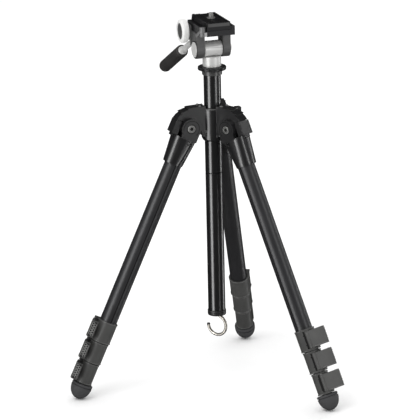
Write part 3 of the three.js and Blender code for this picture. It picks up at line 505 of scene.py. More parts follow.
def smoothed(piece: bpy.types.Object, angle: float = 32) -> bpy.types.Object:
    """Shades a piece smooth, up to the given angle between faces."""
    select_only(piece)
    bpy.ops.object.shade_smooth_by_angle(angle=math.radians(angle))
    return piece


def rounded(
    piece: bpy.types.Object, width: float, segments: int = 2, from_angle: float = 32
) -> bpy.types.Object:
    """Rounds every edge that is sharper than an angle, and smooths the piece.

    Args:
        piece: The object.
        width: Width of the rounding.
        segments: Facets across it.
        from_angle: The least sharp edge that is rounded, in degrees.

    Returns:
        The same object.
    """
    applied(
        piece, "BEVEL", width=width, segments=segments, limit_method="ANGLE",
        angle_limit=math.radians(from_angle), use_clamp_overlap=True,
    )
    smoothed(piece, 38)
    return applied(piece, "WEIGHTED_NORMAL", keep_sharp=True)


def merged(name: str, pieces: Sequence[bpy.types.Object]) -> bpy.types.Object:
    """Joins several objects into one mesh under one name."""
    bpy.ops.object.select_all(action="DESELECT")
    for piece in pieces:
        piece.select_set(True)
    bpy.context.view_layer.objects.active = pieces[0]
    if len(pieces) > 1:
        bpy.ops.object.join()
    return named(name)


def twin(piece: bpy.types.Object, name: str) -> bpy.types.Object:
    """Returns a copy of a piece, with its own mesh."""
    select_only(piece)
    bpy.ops.object.duplicate(linked=False)
    return named(name)


def repeated(piece: bpy.types.Object, name: str, places: Sequence[Matrix]) -> bpy.types.Object:
    """Copies a piece to several places, joins the copies and removes the first piece.

    Args:
        piece: The piece, still at the origin.
        name: The name of the joined copies.
        places: A matrix for each copy.

    Returns:
        The joined copies.
    """
    copies = [moved(twin(piece, name), place) for place in places]
    bpy.data.objects.remove(piece)
    return merged(name, copies)


def knurled(
    piece: bpy.types.Object, teeth: int, cutter: bpy.types.Object, reach: float
) -> bpy.types.Object:
    """Cuts even grooves round a turned piece.

    Args:
        piece: The piece, turned about Z.
        teeth: The number of grooves.
        cutter: The cutter, which stands on the Z axis.
        reach: The distance of the cutter from the axis.

    Returns:
        The same piece.
    """
    out = Matrix.Translation((reach, 0, 0))
    turns = [Matrix.Rotation(2 * math.pi * tooth / teeth, 4, "Z") @ out for tooth in range(teeth)]
    return carved(piece, repeated(cutter, "teeth", turns))


def cast_copy(node: str, name: str, place: Place) -> bpy.types.Object:
    """Copies a CAD node into a place, with its points merged and its flat faces whole.

    Args:
        node: The CAD node.
        name: The copy's name.
        place: The place whose millimetres the copy is in.

    Returns:
        The copy.
    """
    piece = bpy.data.objects.new(name, frame["nodes"][node].data.copy())
    bpy.context.scene.collection.objects.link(piece)
    piece.data.name = name
    piece.data.materials.clear()
    moved(piece, place.matrix.inverted())
    with editing(piece):
        bpy.ops.mesh.customdata_custom_splitnormals_clear()
        bpy.ops.mesh.remove_doubles(threshold=0.002)
        bpy.ops.mesh.dissolve_limited(angle_limit=math.radians(1.0))
    return piece


def dressed(
    piece: bpy.types.Object, body: str, finish: Finish, place: Place | None = None, *nodes: str
) -> bpy.types.Object:
    """Puts a finished piece into the frame: its place, finish, body and the CAD nodes it stands for.

    Args:
        piece: The piece.
        body: The CAD body that it rides on.
        finish: Its surface finish.
        place: The place that it was modelled in.
        *nodes: The CAD nodes that it stands for.

    Returns:
        The same piece.
    """
    if place is not None:
        moved(piece, place.matrix)
    piece.data.materials.clear()
    piece.data.materials.append(finish.material())
    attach(piece, body)
    if nodes:
        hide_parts(*nodes)
    LOG.info("%s rides on %s, finished in %s", piece.name, body, finish.name)
    return piece


# ---------------------------------------------------------------- the legs


@dataclass(frozen=True)
class Part:
    """A modelled piece of a leg, still in the leg's place, with what it becomes in the frame."""

    piece: bpy.types.Object
    body: str  # what follows the leg's name in the body it rides on
    finish: Finish
    nodes: tuple[str, ...] = ()  # what follows the leg's name in the CAD nodes it stands for


@dataclass
class TelescopicTubes:
    """The four keyed tubes of a leg, which slide in each other."""

    place: Place
    radii: tuple[float, ...] = (11.0, 9.3, 7.6, 5.9)
    wall: float = 1.2
    groove_width: float = 1.7
    groove_depth: float = 0.6
    # Inset and height of the strips painted dark as the shade in the key grooves.
    shade_inset: float = 0.2
    shade_proud: float = 0.05
    edge: float = 0.25

    def build(self) -> list[Part]:
        """Returns the four tubes."""
        parts: list[Part] = []
        for section, radius in enumerate(self.radii, start=1):
            parts += self._tube(section, radius)
        return parts

    def _tube(self, section: int, radius: float) -> list[Part]:
        """Makes one tube, with a key groove along each side and softened ends.

        Args:
            section: Its number, from the top.
            radius: Its outer radius.

        Returns:
            The tube, and the strips painted dark as the shade on the floors of its grooves.
        """
        low, high = self.place.box(f"{LEGS[0]}_tube_{section}")
        tube = ring(f"leg_tube_{section}", radius, radius - self.wall, low.z, high.z, self.edge)
        shade_strips: list[bpy.types.Object] = []
        for side in (-1, 1):
            half, floor, inset = self.groove_width / 2, radius - self.groove_depth, self.shade_inset
            deep = beside(side, floor, radius + 1)
            carved(tube, block("groove", (-half, half), deep, (low.z - 1, high.z + 1)))
            # A strip painted dark as the shade on the groove's floor.
            shade_strips.append(block(
                "line", (-half + inset, half - inset), beside(side, floor - inset, floor + self.shade_proud),
                (low.z + inset, high.z - inset),
            ))
        smoothed(tube, 25)
        body = "" if section == 1 else f"_section_{section}"
        line = rounded(merged(f"tube_groove_{section}", shade_strips), 0.05)
        return [Part(tube, body, ANODISED_TUBE, (f"_tube_{section}",)), Part(line, body, SLOT_SHADOW)]


@dataclass
class FlipLocks:
    """The three flip locks of a leg: collar, raised rims, corner slots, hinge pin and lever."""

    place: Place
    radii: tuple[float, ...] = (12.6, 11.6, 10.6)
    rim_height: float = 1.1
    rim_proud: float = 0.5
    slot_length: float = 5.0
    slot_width: float = 1.3
    slot_depth: float = 1.2
    slot_lift: float = 6.2
    slot_drop: float = 2.6
    hinge_proud: float = 2.7
    hinge_angle: float = -40.0
    knuckle: float = 3.1
    lever_length: float = 24.0
    lever_lift: float = 21.5
    pin_to_face: float = 4.4
    grip_depth: float = 8.2
    cell_radius: float = 1.9
    cell_rim: float = 0.5
    cell_proud: float = 0.3
    cell_rows: int = 5
    # Margin and heights of the plate painted black as the shade in the honeycomb's cells.
    cell_shade_edge: float = 1.2
    cell_shade_heights: Span = (-0.3, 0.07)
    # Size and place of the bar painted pale as the highlight on the collar's lower band.
    highlight_bar_radius: float = 0.75
    highlight_bar_inset: float = 2.5
    highlight_bar_lift: float = 4.1

    def build(self) -> list[Part]:
        """Returns the pieces of the three locks, the widest lock first."""
        parts: list[Part] = []
        for stage, radius in enumerate(self.radii, start=1):
            low, high = self.place.box(f"{LEGS[0]}_collar_{stage}")
            body = "" if stage == 1 else f"_section_{stage}"
            parts += self._collar(stage, radius, (low.z, high.z), body)
            parts += self._lever(stage, radius, (low.z, high.z))
        return parts

    def _pin(self, radius: float) -> tuple[float, float]:
        """Returns where the hinge pin stands beside a collar of the given radius."""
        angle = math.radians(self.hinge_angle)
        reach = radius + self.hinge_proud
        return reach * math.cos(angle), reach * math.sin(angle)

    def _collar(self, stage: int, radius: float, heights: Span, body: str) -> list[Part]:
        """Makes a collar with its rims, painted pale as highlights, its slots, with painted shade on their
        floors, and its pin.

        Args:
            stage: The lock's number, from the top.
            radius: The collar's outer radius.
            heights: Its lower and upper end.
            body: The body that it rides on.

        Returns:
            The collar's pieces.
        """
        low, high = heights
        pin_x, pin_y = self._pin(radius)
        collar = cast_copy(f"{LEGS[0]}_collar_{stage}", f"lock_collar_{stage}", self.place)
        middle = (low + high) / 2
        side_y = min(-radius, pin_y - self.knuckle)
        slots = []
        x, half = pin_x - 1.0, self.slot_width / 2
        for z in (middle - self.slot_lift, middle + self.slot_lift):
            y = (side_y - 1, side_y + self.slot_depth)
            slots.append(block("slot", (x - self.slot_length, x), y, (z - half, z + half)))
            slots.append(block("slot", (x - self.slot_width, x), y, (z - self.slot_drop, z + half)))
        carved(collar, *slots)
        rounded(collar, 0.45)
        floor = side_y + self.slot_depth
        # A block painted dark as the shade on the floors of the corner slots.
        shade_inlay = block(
            f"lock_slot_floor_{stage}", (pin_x - self.slot_length - 0.6, pin_x - 1.4),
            (floor - 0.25, floor + 0.6), (middle - 9.4, middle + 7.2),
        )
        rounded(shade_inlay, 0.1)
        # Raised rims, painted pale as the highlights on their edges.
        rims = []
        for rim_low in (high - self.rim_height - 0.5, low + 0.5):
            outer, inner = radius + self.rim_proud, radius - 0.6
            rim_high = rim_low + self.rim_height
            rims.append(turned("rim", [
                (inner, rim_low), (outer - 0.2, rim_low), (outer, rim_low + 0.3),
                (outer, rim_high - 0.3), (outer - 0.2, rim_high), (inner, rim_high), (inner, rim_low),
            ]))
        rim = rounded(merged(f"lock_rims_{stage}", rims), 0.08)
        pin = turned(f"lock_hinge_pin_{stage}", [
            (0, low + 0.15), (1.0, low + 0.15), (1.25, low + 0.4), (1.25, high - 0.4),
            (1.0, high - 0.15), (0, high - 0.15),
        ], SMALL_TURN)
        moved(pin, Matrix.Translation((pin_x, pin_y, 0)))
        smoothed(pin)
        return [
            Part(collar, body, LOCK_PLASTIC, (f"_collar_{stage}",)),
            Part(shade_inlay, body, SLOT_SHADOW),
            Part(rim, body, PAINTED_HIGHLIGHT),
            Part(pin, body, BOLT_STEEL),
        ]

    def _lever(self, stage: int, radius: float, heights: Span) -> list[Part]:
        """Makes a lever with a honeycomb over a plate painted black as the shade in its cells, and a
        rounded bar along it, painted pale as the highlight on the collar's lower band.

        Args:
            stage: The lock's number, from the top.
            radius: The collar's outer radius.
            heights: The collar's lower and upper end.

        Returns:
            The lever's pieces.
        """
        low, high = heights
        lever = rounded(cast_copy(f"{LEGS[0]}_lever_{stage}", f"flip_lever_{stage}", self.place), 0.55)
        pin_x, pin_y = self._pin(radius)
        lift = math.radians(self.lever_lift)
        along = Vector((math.sin(lift), math.cos(lift), 0))
        out = Vector((math.cos(lift), -math.sin(lift), 0))
        pin = Vector((pin_x, pin_y, 0))
        grip = pin + along * self.lever_length + out * (self.pin_to_face - self.grip_depth / 2)
        bottom, top = (corner.z for corner in self.place.box(f"{LEGS[0]}_lever_{stage}"))
        middle = (bottom + top) / 2
        face_on = Matrix((out, Vector((0, 0, -1)), along)).transposed().to_4x4()
        radius, pitch = self.cell_radius, self.cell_radius * math.sqrt(3)
        hollow = radius - self.cell_rim
        cell = turned("cell", [
            (hollow, -0.2), (radius, -0.2), (radius - 0.1, self.cell_proud),
            (hollow, self.cell_proud), (hollow, -0.2),
        ], 6)
        cells = []
        for column in (-0.5, 0.5):
            for row in range(self.cell_rows):
                centre = grip + out * column * radius * 1.5
                centre.z = middle + (row - (self.cell_rows - 1) / 2 + 0.5 * column) * pitch
                cells.append(Matrix.Translation(centre) @ face_on)
        honeycomb = repeated(cell, f"lever_honeycomb_{stage}", cells)
        # A plate painted black as the shade in the honeycomb's cells.
        half, tall = self.grip_depth / 2 - self.cell_shade_edge, (top - bottom) / 2 - self.cell_shade_edge
        cell_shade = block(f"lever_grip_face_{stage}", (-half, half), (-tall, tall), self.cell_shade_heights)
        moved(cell_shade, Matrix.Translation((grip.x, grip.y, middle)) @ face_on)
        # A rounded bar painted pale as the highlight on the collar's lower band, under the lever.
        inset = self.highlight_bar_inset
        bar = drum(f"lever_bar_{stage}", self.highlight_bar_radius, inset, self.lever_length - inset, 24)
        rounded(bar, 0.35)
        start = pin + out * (self.pin_to_face + 0.15)
        start.z = low + self.highlight_bar_lift
        turn = Matrix((out, out.cross(along) * -1, along)).transposed().to_4x4()
        moved(bar, Matrix.Translation(start) @ turn)
        body = f"_lever_{stage}"
        return [
            Part(lever, body, LOCK_PLASTIC, (f"_lever_{stage}",)),
            Part(honeycomb, body, HONEYCOMB),
            Part(cell_shade, body, SLOT_SHADOW),
            Part(bar, body, PAINTED_HIGHLIGHT),
        ]


@dataclass
class RubberFoot:
    """A ball-shaped rubber foot pressed on the narrowest tube."""

    place: Place
    radius: float = 13.4
    socket: float = 6.2
    socket_depth: float = 12.0
    lip: float = 3.0
    undercut: float = 1.1
    undercut_height: float = 1.0
    dome_points: int = 18
    tip_gap: float = 0.25

    def build(self) -> list[Part]:
        """Returns the foot."""
        low, high = self.place.box(f"{LEGS[0]}_foot")
        lip_low = high.z - self.lip
        reach = lip_low - low.z - self.tip_gap - self.undercut_height
        dome_top = lip_low - self.undercut_height
        dome = []
        for step in range(self.dome_points):
            angle = math.pi / 2 * step / self.dome_points
            dome.append((self.radius * math.cos(angle), dome_top - reach * math.sin(angle)))
        profile = [
            (0, high.z - self.socket_depth), (self.socket, high.z - self.socket_depth),
            (self.socket, high.z - 0.3), (self.socket + 0.4, high.z),
            (self.radius - 1.2, high.z), (self.radius - 0.4, high.z - 0.3), (self.radius, high.z - 1.1),
            (self.radius, lip_low + 0.3), (self.radius - 0.3, lip_low),
            (self.radius - self.undercut, lip_low - 0.1),
            (self.radius - self.undercut, dome_top + 0.1), *dome, (0, dome_top - reach),
        ]
        foot = smoothed(turned("rubber_foot", profile), 35)
        return [Part(foot, "_section_4", FOOT_RUBBER, ("_foot",))]


@dataclass
class LegCrown:
    """The crown, its pivot bolt with a hexagon socket at both ends, and the sprung angle tab."""

    place: Place
    edge: float = 0.7
    tab_edge: float = 0.7
    bolt_ring: Span = (3.1, 5.0)
    bolt_shank: float = 3.0
    hex_radius: float = 2.7
    ear_face: float = 14.0
    # Radii of the rings painted dark as the shadow round the ear discs, and the height below which they are
    # cut away.
    groove: Span = (9.9, 10.8)
    shadow_ring_low: float = -5.0
    bar_start: float = -10.0
    bar_length: float = 7.5
    bar_height: float = 1.7
    bar_top: float = -15.6
    bar_pitch: float = 3.6
    bar_reach: Span = (12.2, 15.3)

    def build(self) -> list[Part]:
        """Returns the pieces on top of a leg."""
        crown = rounded(cast_copy(f"{LEGS[0]}_crown", "leg_crown", self.place), self.edge)
        tab = rounded(cast_copy(f"{LEGS[0]}_angle_tab", "angle_tab", self.place), self.tab_edge, 3)
        return [
            Part(crown, "", GLOSS_CASTING, ("_crown",)),
            Part(tab, "_angle_tab", TAB_PLASTIC, ("_angle_tab",)),
            self._tab_ribs(), self._ear_shadow_rings(), self._bars(), *self._bolt(),
        ]

    def _bolt(self) -> list[Part]:
        """Returns the pivot bolt, and the painted shade in its sockets, on its faces and in the recess
        round each end.
        """
        inner, outer = self.bolt_ring
        ends = self.place.box(f"{LEGS[0]}_pivot_bolt")
        reach = min(-ends[0].y, ends[1].y)
        profile = [
            (0, -reach), (outer - 0.5, -reach), (outer, -reach + 0.5), (outer, -reach + 1.3),
            (self.bolt_shank, -reach + 1.3), (self.bolt_shank, reach - 1.3), (outer, reach - 1.3),
            (outer, reach - 0.5), (outer - 0.5, reach), (0, reach),
        ]
        bolt = turned("pivot_bolt", profile, 48)
        for side in (-1, 1):
            carved(bolt, drum("socket", self.hex_radius, *beside(side, reach - 1.1, reach + 1), 6))
        rounded(bolt, 0.12)
        # Hexagons and rings painted dark as the shade in the sockets, on the faces and in the recess round
        # each end.
        shade_inlays = []
        for side in (-1, 1):
            socket, face, well = (
                beside(side, reach - deep, reach + proud)
                for deep, proud in ((1.15, -0.75), (0.3, 0.06), (1.6, -0.25))
            )
            shade_inlays.append(drum("shade_inlay", self.hex_radius - 0.25, *socket, 6))
            shade_inlays.append(ring("shade_inlay", self.hex_radius + 1.0, self.hex_radius + 0.55, *face))
            shade_inlays.append(ring("shade_inlay", outer + 0.95, outer + 0.1, *well))
        shade_inlay = laid(rounded(merged("pivot_bolt_socket_shade", shade_inlays), 0.05), "y")
        return [
            Part(laid(bolt, "y"), "", BOLT_STEEL, ("_pivot_bolt",)),
            Part(shade_inlay, "", SLOT_SHADOW),
        ]

    def _ear_shadow_rings(self) -> Part:
        """Returns the rings painted dark as the shadow in the gap round the discs of the ears, open towards
        the shoulder.
        """
        # Rings painted dark as the shadow in the gap between each ear disc and the arm behind it.
        inner, outer = self.groove
        shadow_rings = [
            ring("groove", outer, inner, *beside(side, self.ear_face - 0.4, self.ear_face + 0.06))
            for side in (-1, 1)
        ]
        groove = laid(merged("ear_shadow_rings", shadow_rings), "y")
        carved(groove, block("open", (-20, 20), (-30, 30), (-30, self.shadow_ring_low)))
        return Part(smoothed(groove), "", SLOT_SHADOW)

    def _bars(self) -> Part:
        """Returns the raised bars under the ears, on both sides of the crown."""
        bars = []
        for side in (-1, 1):
            for row in range(2):
                z = self.bar_top - self.bar_pitch * row
                x = (self.bar_start, self.bar_start + self.bar_length)
                bars.append(block("bar", x, beside(side, *self.bar_reach), (z - self.bar_height, z)))
        return Part(rounded(merged("crown_bars", bars), 0.6, 3), "", GLOSS_CASTING)

    def _tab_ribs(self) -> Part:
        """Returns the thin edge lines down the outer face of the angle tab."""
        low, high = self.place.box(f"{LEGS[0]}_angle_tab")
        ribs = []
        for side in (-1, 1):
            y = beside(side, high.y - 1.9, high.y - 1.4)
            ribs.append(block("rib", (high.x - 0.5, high.x + 0.22), y, (low.z + 3.4, high.z - 1.6)))
        return Part(rounded(merged("tab_edge_lines", ribs), 0.12), "_angle_tab", BLACK_METAL)


@dataclass
class Legs:
    """The three legs: the pieces of one are modelled, then copied for each leg."""

    place: Place = field(default_factory=lambda: leg_place(LEGS[0]))
    parts: list[Part] = field(default_factory=list)

    def build(self) -> None:
        """Models one leg, and copies it to the three legs of the frame."""
        for assembly in (TelescopicTubes, FlipLocks, RubberFoot, LegCrown):
            self.parts += assembly(self.place).build()
        for leg in LEGS:
            for part in self.parts:
                copy = twin(part.piece, f"{leg}_{part.piece.name}")
                nodes = [leg + node for node in part.nodes]
                dressed(copy, leg + part.body, part.finish, leg_place(leg), *nodes)
        for part in self.parts:
            bpy.data.objects.remove(part.piece)


# ---------------------------------------------------------------- the spider and the centre column


@dataclass
class Spider:
    """The spider casting, its top rim painted light as a highlight, small screws and the T-shaped column
    lock.
    """

    place: Place = field(default_factory=spider_place)
    edge: float = 0.8
    sleeve_radius: float = 14.9
    sleeve_top: float = 22.4
    rim: Span = (12.3, 14.3)
    rim_proud: float = 0.5
    screw_radius: float = 1.7
    screw_at: Span = (19.0, 5.2)  # along an arm from the column, and to its side
    screw_proud: float = 0.1
    grub_radius: float = 1.6
    grub_height: float = -6.0
    grub_azimuth: float = -118.0
    knob_edge: float = 1.1
    azimuths: tuple[float, ...] = (-150.0, -30.0, 90.0)

    def build(self) -> None:
        """Models the spider's pieces and puts them into the frame."""
        casting = rounded(cast_copy("spider", "spider_casting", self.place), self.edge)
        dressed(casting, "spider", GLOSS_CASTING, self.place, "spider")
        self._rim()
        self._screws()
        knob = rounded(cast_copy("column_lock_knob", "column_lock", self.place), self.knob_edge, 3)
        dressed(knob, "column_lock_knob", HEAD_BLACK, self.place, "column_lock_knob")

    def _rim(self) -> None:
        """Makes the rim on top of the sleeve, painted pale as a highlight."""
        inner, outer = self.rim
        top = self.sleeve_top
        # A rim painted pale as the highlight on the top edge of the sleeve.
        rim = turned("sleeve_highlight_rim", [
            (inner, top - 0.6), (outer, top - 0.6), (outer, top + self.rim_proud - 0.2),
            (outer - 0.3, top + self.rim_proud), (inner, top + self.rim_proud), (inner, top - 0.6),
        ])
        dressed(smoothed(rim), "spider", PAINTED_HIGHLIGHT, self.place)

    def _screws(self) -> None:
        """Makes the cross-slotted screws at the arm roots and the grub screw low on the sleeve."""
        along, aside = self.screw_at
        arm_top = self.place.box("spider")[1].z
        radius = self.screw_radius
        head = turned("screw", [
            (0, 0), (radius, 0), (radius, 0.7), (radius - 0.4, 1.1), (0, 1.2),
        ], SMALL_TURN)
        length, width, depth = (-1.1, 1.1), (-0.22, 0.22), (0.7, 2)
        carved(head, block("slot", length, width, depth), block("slot", width, length, depth))
        seats = []
        for azimuth in self.azimuths:
            turn = Matrix.Rotation(math.radians(azimuth), 4, "Z")
            for side in (-1, 1):
                seats.append(turn @ Matrix.Translation((along, side * aside, arm_top - self.screw_proud)))
        screws = repeated(head, "arm_screws", seats)
        dressed(smoothed(screws), "spider", BOLT_STEEL, self.place)
        radius = self.grub_radius
        grub = turned("grub_screw", [
            (0, -1.5), (radius, -1.5), (radius, 0.2), (radius - 0.3, 0.4), (0, 0.4),
        ], SMALL_TURN)
        carved(grub, drum("socket", 0.8, -0.4, 1, 6))
        laid(grub, "x", (self.sleeve_radius, 0, self.grub_height))
        moved(grub, Matrix.Rotation(math.radians(self.grub_azimuth), 4, "Z"))
        dressed(smoothed(grub), "spider", BOLT_STEEL, self.place)


@dataclass
class Column:
    """The centre column with its flange, end cap and ballast hook."""

    place: Place = field(default_factory=column_place)
    radius: float = 11.0
    wall: float = 1.4
    edge: float = 0.35
    flange_radius: float = 18.0
    flange_teeth: int = 60
    flange_split: float = 0.45
    collar_radius: float = 12.7
    collar_height: float = 6.4
    cap_radius: float = 11.8
    cap_line: float = 4.6  # height of the dark line round the end cap
    hook_wire: float = 2.0
    hook_radius: float = 13.0
    hook_drop: float = 14.2
    hook_start: float = 66.0
    hook_end: float = -176.0
    hook_azimuth: float = -20.0
    hook_tip: float = 1.8

    def build(self) -> None:
        """Models the column's pieces and puts them into the frame."""
        self._tube("column_upper_tube")
        self._tube("column_lower_tube")
        self._flange()
        self._cap()
        self._hook()

    def _tube(self, node: str) -> None:
        """Makes a tube of the column with softened ends.

        Args:
            node: The CAD node that it stands for.
        """
        low, high = self.place.box(node)
        top = high.z
        if node == "column_lower_tube":
            top = self.place.box("column_upper_tube")[0].z - 0.6
        inner = self.radius - self.wall
        tube = ring(f"{node}_skin", self.radius, inner, low.z, top, self.edge)
        if node == "column_lower_tube":
            spigot = ring("spigot", inner - 0.3, inner - 1.7, top - 0.2, high.z)
            tube = merged(f"{node}_skin", [tube, spigot])
        dressed(smoothed(tube), "column", GLOSS_TUBE, self.place, node)

    def _flange(self) -> None:
        """Makes the flange under the head: two knurled bands, and the collar on the column."""
        low, high = self.place.box("column_flange")
        base = low.z + self.collar_height
        top = base + 4.1
        middle = (base + top) / 2
        radius, split = self.flange_radius, self.flange_split
        disc = turned("flange_disc", [
            (0, base), (radius - 0.7, base), (radius - 0.05, base + 0.6), (radius - 0.05, middle - split),
            (radius - 0.9, middle - split + 0.1), (radius - 0.9, middle + split - 0.1),
            (radius - 0.05, middle + split), (radius - 0.05, top - 0.6), (radius - 0.7, top), (4.7, top),
            (4.7, high.z), (0, high.z),
        ], 96)
        knurled(disc, self.flange_teeth, drum("tooth", 0.42, base - 1, top + 1, 6), radius + 0.1)
        dressed(smoothed(disc, 28), "column", BLACK_METAL, self.place, "column_flange")
        outer, inner = self.collar_radius, self.radius + 0.3
        collar = turned("flange_collar", [
            (inner, low.z), (outer - 0.5, low.z), (outer, low.z + 0.5), (outer, base - 1.2),
            (outer - 0.4, base - 1.0), (outer - 0.4, base), (inner, base), (inner, low.z),
        ])
        dressed(smoothed(collar), "column", HEAD_GREY, self.place)

    def _cap(self) -> None:
        """Makes the end cap, with a fine dark line round it."""
        low, high = self.place.box("column_end_cap")
        radius, line = self.cap_radius, low.z + self.cap_line
        cap_top = low.z + 7.0
        cap = turned("column_cap", [
            (5.0, low.z), (radius - 1.6, low.z), (radius - 0.5, low.z + 0.5), (radius, low.z + 1.6),
            (radius, line - 0.4), (radius - 0.5, line - 0.2),
            (radius - 0.5, line + 0.2), (radius, line + 0.4),
            (radius, cap_top - 0.4), (radius - 0.4, cap_top), (7.6, cap_top), (7.6, high.z), (6.6, high.z),
            (6.6, low.z + 3.0), (5.0, low.z + 3.0), (5.0, low.z),
        ])
        dressed(smoothed(cap, 50), "column", CAP_PLASTIC, self.place, "column_end_cap")

    def _hook(self) -> None:
        """Makes the J hook by spinning a disc of wire round two bends, and its blunt dark tip."""
        floor = self.place.box("column_end_cap")[0].z
        start = math.radians(self.hook_start)
        run = self.hook_radius * math.cos(start)
        elbow = run / (1 - math.cos(start))
        rise = -self.hook_drop + self.hook_radius * math.sin(start) + elbow * math.sin(start)
        wire = self.hook_wire
        bpy.ops.object.select_all(action="DESELECT")
        bpy.ops.mesh.primitive_circle_add(vertices=24, radius=wire, fill_type="NGON", location=(0, 0, rise))
        hook = named("ballast_hook_wire")
        bpy.ops.object.transform_apply(location=True, rotation=True, scale=True)
        sweep = start - math.radians(self.hook_end)
        with editing(hook):
            bpy.ops.mesh.spin(steps=12, angle=start, center=(elbow, 0, rise), axis=(0, 1, 0))
            bpy.ops.mesh.spin(steps=56, angle=sweep, center=(0, 0, -self.hook_drop), axis=(0, -1, 0))
            bpy.ops.mesh.select_all(action="SELECT")
            bpy.ops.mesh.remove_doubles(threshold=DOUBLES)
            bpy.ops.mesh.normals_make_consistent(inside=False)
        disc = turned("disc", [(0, 3.3), (5.9, 3.3), (6.3, 3.7), (6.3, 5.6), (5.9, 6.0), (0, 6.0)])
        hook = smoothed(merged("ballast_hook_wire", [hook, disc]), 40)
        azimuth = math.radians(self.hook_azimuth)
        place = self.place.inside((0, 0, floor), (math.cos(azimuth), math.sin(azimuth), 0), (0, 0, 1))
        dressed(hook, "ballast_hook", HOOK_STEEL, place, "ballast_hook")
        end, length = math.radians(self.hook_end), self.hook_tip
        tip = turned("ballast_hook_tip", [
            (0, 0), (wire + 0.12, 0), (wire + 0.12, length - 0.6), (wire - 0.5, length), (0, length),
        ], 24)
        x, z = self.hook_radius * math.cos(end), -self.hook_drop + self.hook_radius * math.sin(end)
        moved(tip, Matrix.Translation((x, 0, z)))
        dressed(smoothed(tip, 40), "ballast_hook", BLACK_STEEL, place)


# ---------------------------------------------------------------- the pan head


